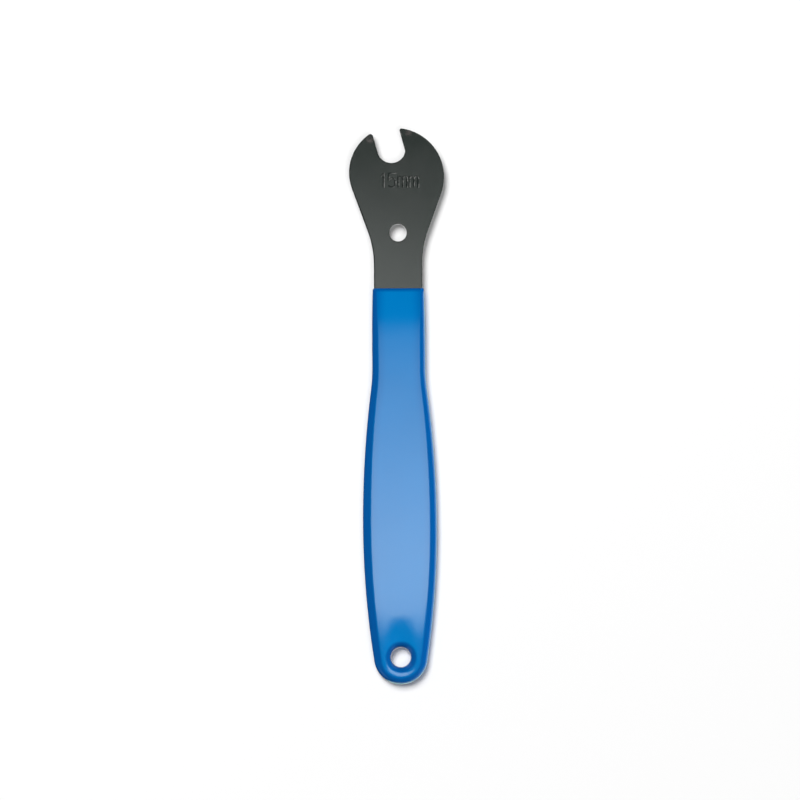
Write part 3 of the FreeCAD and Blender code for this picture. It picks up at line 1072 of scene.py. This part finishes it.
@dataclass
class Grip:
    """The dipped skin: an outer surface with elliptical sides, a rounded lip and the tang's pocket.

    Attributes:
        handle: The paddle's outline.
        half: Half the grip's thickness.
        plate: Half the steel's thickness.
        side_round: How far in the sides are rounded.
        neck_side_round: The same at the neck.
        lip_side_round: The same at the lip.
        crown: How far the face falls towards its edges.
        crown_reach: How far in from the edge that starts.
        lip_round: Rounding of the lip.
        bore: Radius of the lined hang hole.
        bore_round: How far out the hole's mouth is rounded.
        dish: How far the face sinks round the hole, below it and above it.
        dish_reach: How far from the hole's wall that starts.
        hollow: Depth of the shallow hollow that runs down the palm to the hole.
        hollow_reach: How far above the hole's centre it starts.
        hollow_half: Half its width, from its floor to where it has run out.
        collar: Distance above the hole's centre at which the rings round it meet the rows of the handle.
        rim: Rounding of the pocket's corners.
        fit: Clearance between the pocket and the tang.
        shade: How far below the lip its painted shade starts, and where it is full.
        band_steps: Divisions of the rounded side.
        crown_steps: Divisions from there to the flat face.
        face_steps: Divisions of the flat face.
        ring_steps: Rings from the hole to the edge.
        lip_steps: Divisions of the rounded lip.
    """

    handle: Handle
    half: float
    plate: float
    side_round: float = 4.5
    neck_side_round: float = 3.4
    lip_side_round: float = 2.1
    crown: float = 0.10
    crown_reach: float = 9.5
    lip_round: float = 0.8
    bore: float = 5.3
    bore_round: float = 4.4
    dish: tuple[float, float] = (0.34, 0.10)
    dish_reach: float = 12.0
    hollow: float = 0.27
    hollow_reach: float = 23.5
    hollow_half: tuple[float, float] = (0.0, 9.5)
    collar: float = 33.0
    rim: float = 0.35
    fit: float = 0.01
    shade: tuple[float, float] = (1.9, 0.8)
    band_steps: int = 14
    crown_steps: int = 8
    face_steps: int = 14
    ring_steps: int = 44
    lip_steps: int = 6

    def lip_share(self, y: np.ndarray) -> np.ndarray:
        """How far along the lip's taper a station lies: 0 before it and 1 at the lip."""
        start = -self.handle.lip_drop - self.handle.lip_taper
        return np.clip((y - start) / self.handle.lip_taper, 0, 1)

    def rows(self, grow: float) -> Stretch:
        """The side's stations from the bottom up to the lip, drawn in along the taper of an outer skin.

        Args:
            grow: How far they stand outside the steel, and 0 for the pocket.

        Returns:
            The stations.
        """
        side = self.handle.side(grow)
        neck = self.handle.neck_width / 2 + grow
        end = -self.handle.lip_drop - (self.lip_round if grow > 0 else 0)
        run = line((neck, float(side.points[-1, 1])), (neck, end))
        whole = side.then(run)
        if grow > 0:
            whole.points[:, 0] -= self.handle.lip_thinning * self.lip_share(whole.points[:, 1]) ** 2
        return whole

    def across(self, edge: np.ndarray, normal: np.ndarray, depth: np.ndarray,
               height: np.ndarray) -> np.ndarray:
        """Full rows from the left edge to the right one: a band, the flat face, and the band mirrored.

        Args:
            edge: X and Y of the right-hand edge, one row for each station.
            normal: Outward normals there.
            depth: Depths of the band's points, one row for each station.
            height: Their heights.

        Returns:
            X, Y and Z of every point of every row.
        """
        band = edge[:, None] - depth[..., None] * normal[:, None]
        right = np.concatenate([band, height[..., None]], axis=-1)[:, ::-1]
        left = right[:, ::-1] * np.array([-1, 1, 1])
        share = np.linspace(0, 1, self.face_steps + 1)[1:-1, None]
        inner = left[:, -1:] + share * (right[:, :1] - left[:, -1:])
        return np.concatenate([left, inner, right], axis=1)

    def outer_band(self, y: np.ndarray) -> tuple[np.ndarray, np.ndarray]:
        """Depths and heights of the side at each station, thinner and tighter at the lip.

        The points stand at even angles of a quarter ellipse, and then in even steps over the crown. The
        ellipse narrows by one even step up the palm, and by a power of 1.3 along the lip's taper.

        Args:
            y: Y of each station.

        Returns:
            Depths and heights, one row for each station.
        """
        turn = np.linspace(0, np.pi / 2, self.band_steps + 1)
        share = self.lip_share(y)[:, None]
        palm, taper = -self.handle.palm_drop, -self.handle.lip_drop - self.handle.lip_taper
        climb = (y - palm) / (taper - palm)
        wide = self.side_round + (self.neck_side_round - self.side_round) * smooth(climb)[:, None]
        wide = wide + (self.lip_side_round - self.neck_side_round) * share**1.3
        high = self.half - self.handle.lip_thinning * share**2
        over = wide + (self.crown_reach - wide) * np.linspace(0, 1, self.crown_steps + 1)[1:]
        depth = np.concatenate([wide * (1 - np.cos(turn)), over], axis=1)
        height = np.concatenate([high * np.sin(turn), np.broadcast_to(high, over.shape)], axis=1)
        return depth, height - self.crowned(depth, wide)

    def crowned(self, depth: np.ndarray, wide: float | np.ndarray) -> np.ndarray:
        """How far the crown lies below the face: a parabola that fades out towards the very edge.

        Args:
            depth: How far in from the outline each point is.
            wide: How far in the side is rounded there.

        Returns:
            One drop for each point.
        """
        fall = (1 - np.clip(depth / self.crown_reach, 0, 1)) ** 2
        return self.crown * fall * smooth(depth / wide)

    def inner_band(self, count: int) -> tuple[np.ndarray, np.ndarray]:
        """Depths and heights of the pocket's wall and rounded corner, the same at every station.

        Args:
            count: Number of stations.

        Returns:
            Depths and heights, one row for each station.
        """
        top, rim = self.plate + self.fit, self.rim
        wall = self.band_steps // 2
        turn = np.linspace(0, np.pi / 2, self.band_steps + self.crown_steps + 1 - wall)
        depth = np.concatenate([np.zeros(wall), rim * (1 - np.cos(turn))])
        height = np.concatenate([np.linspace(0, top - rim, wall + 1)[:-1], top - rim + rim * np.sin(turn)])
        return np.tile(depth, (count, 1)), np.tile(height, (count, 1))

    def about_hole(self, points: np.ndarray) -> tuple[np.ndarray, np.ndarray, np.ndarray]:
        """Where points lie about the hang hole.

        Args:
            points: X and Y of each point, about the wrench's axis.

        Returns:
            The way from the hole's centre, its length, and an even step from 0 below the hole to 1 above.
        """
        away = points - np.array([0, -self.handle.hole_drop])
        radius = np.hypot(away[..., 0], away[..., 1])
        return away, radius, smooth(1 + 1.2 * away[..., 1] / np.maximum(radius, self.bore))

    def sunk(self, points: np.ndarray) -> np.ndarray:
        """How far the outer face has sunk towards the hang hole.

        It is the dish's depth times the square of how near the point is to the hole's wall, and the
        hollow's depth times one even step down the palm and another one out to each side.

        Args:
            points: X and Y of each point, about the wrench's axis.

        Returns:
            One drop for each point.
        """
        away, radius, up = self.about_hole(points)
        near = 1 - np.clip((radius - self.bore) / self.dish_reach, 0, 1)
        floor, rim = self.hollow_half
        run = smooth(1 - away[..., 1] / self.hollow_reach)
        aside = 1 - smooth((np.abs(away[..., 0]) - floor) / (rim - floor))
        return (self.dish[0] + (self.dish[1] - self.dish[0]) * up) * near**2 + self.hollow * run * aside

    def outer_height(self, points: np.ndarray) -> np.ndarray:
        """Height of the outer skin round the hole: the face, times a quarter ellipse in from each edge.

        Below the hole both ellipses are fuller, so that a broad ridge runs between them.

        Args:
            points: X and Y of each point, about the wrench's axis.

        Returns:
            One height for each point.
        """
        _, radius, up = self.about_hole(points)
        depth = self.handle.depth(points, self.handle.skin)
        side = ellipse_rise(depth / self.side_round, 3 - up)
        mouth = ellipse_rise((radius - self.bore) / self.bore_round, 3)
        high = (self.half - self.sunk(points)) * side * mouth
        return high - self.crowned(depth, self.side_round)

    def rings(self, edge: Stretch, top_row: np.ndarray, bore: float, inner: bool) -> np.ndarray:
        """Rings from the hole's wall out to the handle's edge and to the collar's row.

        Each point lies on a straight line from the wall to a point of the border, at shares that crowd
        towards both ends as half of 1 minus the cosine of an even angle does.

        Args:
            edge: The side's stations below the collar's row.
            top_row: The collar's row, from left to right.
            bore: Radius of the hole's wall.
            inner: Whether this is the pocket and not the outer skin.

        Returns:
            Points ring by ring.
        """
        border = np.concatenate([top_row[:, :2], self.hem(edge)])
        centre = np.array([0, -self.handle.hole_drop])
        rays = border - centre
        rays /= np.hypot(rays[:, 0], rays[:, 1])[:, None]
        wall = centre + bore * rays
        share = (1 - np.cos(np.linspace(0, np.pi, self.ring_steps + 1))) / 2
        flat = wall[None] + share[:, None, None] * (border - wall)[None]
        if inner:
            wall_top = self.plate + self.fit - self.rim
            side = ellipse_rise(self.handle.depth(flat, self.fit) / self.rim)
            mouth = ellipse_rise((np.hypot(*np.moveaxis(flat - centre, -1, 0)) - bore) / self.rim)
            height = wall_top + self.rim * side * mouth
        else:
            wall_top = 0
            height = self.outer_height(flat)
        height[0] = wall_top
        height[-1, len(top_row):] = height[0, 0]
        height[-1, :len(top_row)] = top_row[:, 2]
        return np.concatenate([flat, height[..., None]], axis=-1)

    @staticmethod
    def hem(edge: Stretch) -> np.ndarray:
        """The handle's edge below the collar, from the right round the bottom to the left."""
        return np.concatenate([edge.points[::-1], (edge.points * np.array([-1, 1]))[1:]])

    def build(self) -> bpy.types.Object:
        """Builds the skin: the upper half as rows and rings, then its mirror image below.

        Returns:
            The piece.
        """
        shell = Shell()
        sheets = self.outer_sheets() + self.pocket_sheets()
        for points, faces, side in sheets:
            for hand in (1, -1):
                # side is the share of painted shade at each vertex.
                shell.add(self.placed(points * np.array([1, 1, hand])), faces, side=side)
        piece = shell.make("grip_skin")
        piece.data.materials.append(DippedVinyl().make())
        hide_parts(Node.GRIP.value)
        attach(piece, "root")
        return piece

    def placed(self, points: np.ndarray) -> np.ndarray:
        """Points moved from the wrench's axis to the jaw's centre."""
        return points + np.array([self.handle.axis, 0, 0])

    def split(self, stations: Stretch) -> int:
        """The first station at or above the collar."""
        return int(np.argmax(stations.points[:, 1] >= self.collar - self.handle.hole_drop))

    def outer_sheets(self) -> list[tuple[np.ndarray, np.ndarray, np.ndarray]]:
        """The outer skin's upper half: rings round the hole, rows up the handle, and the rounded lip.

        Returns:
            Points, faces and the share of the deeper colour, for each sheet.
        """
        stations = self.rows(self.handle.skin)
        cut = self.split(stations)
        edge, normal = stations.points[cut:], stations.normals[cut:]
        depth, height = self.outer_band(edge[:, 1])
        rows = self.across(edge, normal, depth, height)
        turn = np.linspace(0, np.pi / 2, self.lip_steps + 1)[1:]
        drawn = self.lip_round * (1 - np.cos(turn))
        lip_edge = edge[-1] + np.stack([-drawn, self.lip_round * np.sin(turn)], axis=1)
        lip_normal = np.repeat(np.array([[1.0, 0.0]]), len(turn), axis=0)
        lip_depth = depth[-1] * (1 - drawn / self.crown_reach)[:, None]
        lip_height = height[-1] * (1 - drawn / height[-1, -1])[:, None]
        lip = self.across(lip_edge, lip_normal, lip_depth, lip_height)
        pocket = self.pocket_rows()
        rows = np.concatenate([rows, lip, pocket])
        below = Stretch(stations.points[:cut], stations.normals[:cut])
        rings = self.rings(below, rows[0], self.bore, inner=False)
        tops = rows[..., 2].max(1, keepdims=True)
        tops[len(edge):] = tops[len(edge) - 1]
        # Painted shade: darker on the turned-over sides, on the hole's wall and just below the lip.
        start, full = self.shade
        painted_lip_shade = smooth((rows[..., 1] + self.handle.lip_drop + start) / (start - full))
        side = np.maximum(self.turned(rows[..., 2], tops), painted_lip_shade)
        ring_painted_shade = self.turned(rings[..., 2], self.half - self.sunk(rings[..., :2]))
        return [
            (rows, grid_faces(*rows.shape[:2]), side),
            (rings, grid_faces(*rings.shape[:2], loop=True), ring_painted_shade),
        ]

    @staticmethod
    def turned(height: np.ndarray, top: float | np.ndarray) -> np.ndarray:
        """Share of painted shade where the skin has turned over, as an even step.

        It runs over 3.6 times the root of 1 minus the square of the height's share, less 0.1.

        Args:
            height: Height of each point.
            top: Height of the face there.

        Returns:
            One share for each point.
        """
        away = np.sqrt(np.clip(1 - (height / np.maximum(top, 1e-6)) ** 2, 0, 1))
        return smooth(3.6 * away - 0.1)

    def pocket_rows(self) -> np.ndarray:
        """The pocket's rows from the lip down to the collar.

        Returns:
            X, Y and Z of the points, row by row.
        """
        stations = self.rows(0)
        cut = self.split(stations)
        edge, normal = stations.points[cut:][::-1], stations.normals[cut:][::-1]
        depth, height = self.inner_band(len(edge))
        return self.across(edge + self.fit * normal, normal, depth, height)

    def pocket_sheets(self) -> list[tuple[np.ndarray, np.ndarray, np.ndarray]]:
        """The pocket's rings round the hole, and its upright walls there down to the mid-plane.

        Returns:
            Points, faces and the share of the deeper colour, for each sheet.
        """
        stations = self.rows(0)
        cut = self.split(stations)
        below = Stretch(stations.points[:cut] + self.fit * stations.normals[:cut], stations.normals[:cut])
        row = self.pocket_rows()[-1]
        wall = self.band_steps // 2
        rings = self.rings(below, row[wall:-wall], self.handle.hang_radius - self.fit, inner=True)
        hem = np.concatenate([row[-1:, :2], self.hem(below), row[:1, :2]])
        levels = row[:wall + 1, 2]
        sheets = [(rings, True)]
        for border, heights, loop in ((hem, levels, False), (rings[0, :, :2], levels[[0, -1]], True)):
            flat = np.broadcast_to(border, (len(heights), *border.shape))
            tall = np.broadcast_to(heights[:, None, None], (*flat.shape[:2], 1))
            sheets.append((np.concatenate([flat, tall], axis=-1), loop))
        return [(points, grid_faces(*points.shape[:2], loop=loop), np.zeros(points.shape[:2]))
                for points, loop in sheets]


@dataclass(frozen=True)
class Lamp:
    """A broad light overhead that faces straight down.

    Attributes:
        name: Its name.
        watts: Its power.
        wide: Its width, as a share of its height.
        aside: How far to the right of the picture's middle it stands, as the same share.
        up: How far up the picture it stands, as the same share.
    """

    name: str
    watts: float
    wide: float
    aside: float
    up: float


@dataclass(frozen=True)
class LowSheet:
    """A pale sheet on the table that the gloss of one piece shows.

    Attributes:
        name: Its name.
        x: Its left and right ends, in metres.
        y: Its lower and upper ends, in metres.
        strength: Strength of its light.
        tint: Colour of its light.
        shows_in: The piece that shows it.
    """

    name: str
    x: tuple[float, float]
    y: tuple[float, float]
    strength: float
    tint: Tint
    shows_in: Node


@dataclass
class Studio:
    """A white table, soft lights overhead, cards for the gloss and a camera from almost straight above.

    Attributes:
        floor_height: Z of the table, in metres.
        blade: The steel piece.
        grip: The vinyl piece.
        centre: X and Y in the middle of the picture.
        lean: How far the camera stands to the left of and below the vertical, in degrees.
        roll: Turn of the picture, in degrees.
        frame_width: Width of the picture at the plate's mid-plane.
        distance: From the camera to the plate.
        sensor: Width of the camera's sensor.
        card_height: Height of the overhead cards, in metres.
        lamp_height: Height of the lamps overhead, in metres.
        lamp_tall: Their length up the picture, as a share of that height.
        lamps: The main light to the upper left, and a weaker one to the lower right.
        sheets: Sheets right of the tool, below it and under its holes, for the thin light lines.
        sheet_lift: Their height over the table, in metres.
    """

    floor_height: float
    blade: bpy.types.Object
    grip: bpy.types.Object
    centre: tuple[float, float] = (4.2, -137.8)
    lean: tuple[float, float] = (2.5, 2.5)
    roll: float = 0.40
    frame_width: float = 438.4
    distance: float = 6000.0
    sensor: float = 36.0
    card_height: float = 0.9
    lamp_height: float = 8.0
    lamp_tall: float = 0.75
    lamps: tuple[Lamp, ...] = (
        Lamp("key", 1175.0, wide=0.60, aside=-0.38, up=0.52),
        Lamp("fill", 176.0, wide=0.40, aside=0.30, up=-0.30),
    )
    sheets: tuple[LowSheet, ...] = (
        LowSheet("right_sheet", (0.012, 0.8), (-1.2, -0.078), 1.6, Tint.SEA, Node.GRIP),
        LowSheet("lower_sheet", (-0.006, 0.012), (-1.2, -0.2925), 2.0, Tint.SEA, Node.GRIP),
        LowSheet("hang_sheet", (-0.003, 0.0105), (-0.2865, -0.2715), 1.2, Tint.WHITE, Node.GRIP),
        LowSheet("hole_sheet", (-0.002, 0.0100), (-0.0525, -0.0400), 1.2, Tint.WHITE, Node.BLADE),
        LowSheet("head_sheet", (0.012, 0.8), (-0.078, 0.3), 2.0, Tint.WHITE, Node.BLADE),
    )
    sheet_lift: float = 0.0002

    def build(self) -> None:
        """Makes the floor, the world, the lights, the cards and the camera."""
        self.floor()
        self.world()
        self.overhead_lights()
        self.side_light()
        self.grip_card()
        self.blade_card()
        self.low_cards()
        self.corner_cards()
        self.camera()
        bpy.context.scene.view_settings.view_transform = "Standard"

    @staticmethod
    def sheet(name: str, corners: list[tuple[float, float, float]]) -> bpy.types.Object:
        """A flat stage piece over four corners.

        Args:
            name: Its name.
            corners: The corners, in order.

        Returns:
            The piece.
        """
        mesh = bpy.data.meshes.new(name)
        mesh.from_pydata(corners, [], [(0, 1, 2, 3)])
        piece = bpy.data.objects.new(name, mesh)
        bpy.context.scene.collection.objects.link(piece)
        return piece

    def floor(self) -> None:
        """A wide white floor at the lowest point of the grip, which the gloss doesn't show."""
        far, z = 3.0, self.floor_height
        piece = self.sheet("floor", [(-far, -far, z), (far, -far, z), (far, far, z), (-far, far, z)])
        piece.data.materials.append(WhitePaper().make())
        piece.visible_glossy = False

    @staticmethod
    def world() -> None:
        """A very dim even surround."""
        world = bpy.data.worlds.new("surround")
        world.use_nodes = True
        background = world.node_tree.nodes["Background"]
        background.inputs["Color"].default_value = Tint.WHITE.value
        background.inputs["Strength"].default_value = 0.05
        bpy.context.scene.world = world

    def middle(self) -> tuple[float, float]:
        """X and Y in the middle of the picture, in metres."""
        return self.centre[0] * MM, self.centre[1] * MM

    @staticmethod
    def lamp(name: str, energy: float, size: tuple[float, float], place: tuple[float, float, float],
             aim: tuple[float, float, float]) -> bpy.types.Object:
        """A rectangular light that no reflection shows.

        Args:
            name: Name of the light.
            energy: Power, in watts.
            size: Width and height, in metres.
            place: Where it stands.
            aim: The point that it faces.

        Returns:
            The light.
        """
        light = bpy.data.lights.new(name, "AREA")
        light.shape = "RECTANGLE"
        light.size, light.size_y = size
        light.energy = energy
        lamp = bpy.data.objects.new(name, light)
        lamp.location = place
        lamp.rotation_euler = (Vector(aim) - Vector(place)).to_track_quat("-Z", "Y").to_euler()
        lamp.visible_glossy = False
        lamp.visible_camera = False
        bpy.context.scene.collection.objects.link(lamp)
        return lamp

    def overhead_lights(self) -> None:
        """The broad lights overhead, each of which faces straight down."""
        x, y = self.middle()
        high = self.lamp_height
        for lamp in self.lamps:
            spot = (x + lamp.aside * high, y + lamp.up * high, high)
            self.lamp(lamp.name, lamp.watts, (lamp.wide * high, self.lamp_tall * high), spot, (*spot[:2], 0))

    def side_light(self) -> None:
        """A low light from the right that falls on the tool alone."""
        x, y = self.middle()
        watts, size, away, below, high = 12.0, (0.9, 0.14), 1.0, 0.15, 0.10
        lamp = self.lamp("side", watts, size, (x + away, y - below, high), (x, y, 0))
        self.only_on(lamp, self.blade, self.grip)

    @staticmethod
    def only_on(light: bpy.types.Object, *pieces: bpy.types.Object) -> None:
        """Lets a light or a card light the given pieces alone.

        Args:
            light: The light or the card.
            pieces: What it may light.
        """
        lit = bpy.data.collections.new(light.name + "_lit")
        for piece in pieces:
            lit.objects.link(piece)
        light.light_linking.receiver_collection = lit

    def grip_card(self) -> None:
        """The overhead card over the handle, which glows more and more towards its end."""
        stops = [(-0.2760, 0.0), (-0.2695, 0.5), (-0.2630, 1.9), (-0.2560, 4.7), (-0.2190, 4.6),
                 (-0.1840, 3.6), (-0.1640, 3.0), (-0.1380, 2.3), (-0.1180, 1.7), (-0.1050, 1.12),
                 (-0.0920, 0.75), (-0.0775, 0.28)]
        sides = [(-0.13, 0.0), (-0.07, 1.0), (0.15, 1.0), (0.24, 0.06), (0.45, 0.03)]
        self.card("grip_card", stops, sides, Tint.DAY, self.grip, self.blade)

    def blade_card(self) -> None:
        """The overhead card over the head, which fades from the neck up to the jaw and to the right."""
        stops = [(-0.0775, 3.5), (-0.0500, 1.55), (-0.0250, 0.1), (0.0100, 0.0), (0.2000, 0.0)]
        sides = [(-0.30, 1.0), (-0.02, 1.0), (0.05, 0.3), (0.30, 0.2)]
        self.card("blade_card", stops, sides, Tint.WHITE, self.blade)

    def card(self, name: str, stops: Curve, sides: Curve, tint: Tint, *pieces: bpy.types.Object) -> None:
        """An overhead card that the given pieces' gloss shows.

        Args:
            name: Name of the card.
            stops: Where on the tool's face each strength shows, along Y in metres.
            sides: Where each share of it stands along X, from where the card shows at X = 0.
            tint: Colour of the light.
            pieces: The pieces that show it.
        """
        high, shift = self.card_height, self.above(0, 0)
        stops = [(self.above(where, 1), strength) for where, strength in stops]
        sides = [(where + shift, share) for where, share in sides]
        left, right, low, top = sides[0][0], sides[-1][0], stops[0][0], stops[-1][0]
        corners = [(left, low, high), (left, top, high), (right, top, high), (right, low, high)]
        self.gloss_card(name, corners, Glow(name + "_glow", "Y", stops, sides, tint), *pieces)

    def gloss_card(self, name: str, corners: list[tuple[float, float, float]], glow: Glow,
                   *pieces: bpy.types.Object) -> None:
        """A glowing sheet that shows in reflections and nowhere else.

        Args:
            name: Name of the sheet.
            corners: Its four corners.
            glow: Its light.
            pieces: The pieces that show it, or none for all of them.
        """
        card = self.sheet(name, corners)
        card.data.materials.append(glow.make())
        card.visible_camera = False
        card.visible_diffuse = False
        card.visible_transmission = False
        card.visible_shadow = False
        if pieces:
            self.only_on(card, *pieces)

    def above(self, where: float, axis: int) -> float:
        """Where on the card the flat face shows at a point: the camera's ray, carried on after its turn.

        Args:
            where: Coordinate of the point on the face, in metres.
            axis: 0 for X and 1 for Y.

        Returns:
            The coordinate on the card.
        """
        spread = self.card_height / (self.distance * MM) * (where - self.centre[axis] * MM)
        return where + spread + self.card_height * math.tan(math.radians(self.lean[axis]))

    def low_cards(self) -> None:
        """The pale sheets, just above the table."""
        z = self.floor_height + self.sheet_lift
        pieces = {Node.BLADE: self.blade, Node.GRIP: self.grip}
        for sheet in self.sheets:
            (left, right), (low, top) = sheet.x, sheet.y
            even = [(low, sheet.strength), (top, sheet.strength)]
            glow = Glow(sheet.name + "_glow", "Y", even, [(left, 1.0), (right, 1.0)], sheet.tint)
            corners = [(left, low, z), (right, low, z), (right, top, z), (left, top, z)]
            self.gloss_card(sheet.name, corners, glow, pieces[sheet.shows_in])

    def corner_cards(self) -> None:
        """Upright sheets towards the room's four corners, for the gloss as it is seen from the side."""
        away, half, low, top = 3.0, 1.25, 0.15, 2.6
        rise = [(low, 0.75), (1.0, 0.55), (top, 0.1)]
        for corner in (45, 135, 225, 315):
            cos, sin = math.cos(math.radians(corner)), math.sin(math.radians(corner))
            left = (away * cos - half * sin, away * sin + half * cos)
            right = (away * cos + half * sin, away * sin - half * cos)
            ends = sorted((left[0], right[0]))
            share = [(ends[0], 0.3), (sum(ends) / 2, 1.0), (ends[1], 0.3)]
            name = f"corner_{corner}"
            corners = [(*left, low), (*right, low), (*right, top), (*left, top)]
            self.gloss_card(name, corners, Glow(name + "_glow", "Z", rise, share, Tint.WHITE))

    def camera(self) -> None:
        """A long lens above the wrench, leaning a little and turned by the photograph's small roll."""
        data = bpy.data.cameras.new("camera")
        data.sensor_width = self.sensor
        data.lens = self.sensor * self.distance / self.frame_width
        data.clip_end = 100.0  # metres
        camera = bpy.data.objects.new("camera", data)
        lean_x, lean_y = (math.tan(math.radians(angle)) for angle in self.lean)
        back = Vector((-lean_x, -lean_y, 1)).normalized()
        turn = math.radians(self.roll)
        across = Vector((math.sin(turn), math.cos(turn), 0)).cross(back).normalized()
        up = back.cross(across)
        turned = Matrix((across, up, back)).transposed().to_4x4()
        middle = Vector((*self.centre, 0)) * MM
        camera.matrix_world = Matrix.Translation(middle + back * self.distance * MM) @ turned
        bpy.context.scene.collection.objects.link(camera)
        bpy.context.scene.camera = camera


def main() -> None:
    """Builds the blade, the grip and the studio round the frame."""
    logging.basicConfig(level=logging.INFO, format="%(message)s")
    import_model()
    blade_box, grip_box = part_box(Node.BLADE.value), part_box(Node.GRIP.value)
    plate, half = blade_box[1].z / MM, grip_box[1].z / MM
    limits = tuple(np.array(corner) / MM for corner in blade_box)
    handle = Handle()
    blade = Blade(handle, Head(), SizeMark(), plate, limits).build()
    log.info("The blade stands.")
    grip = Grip(handle, half, plate).build()
    log.info("The grip stands.")
    Studio(floor_height=grip_box[0].z, blade=blade, grip=grip).build()


if __name__ == "__main__":
    main()
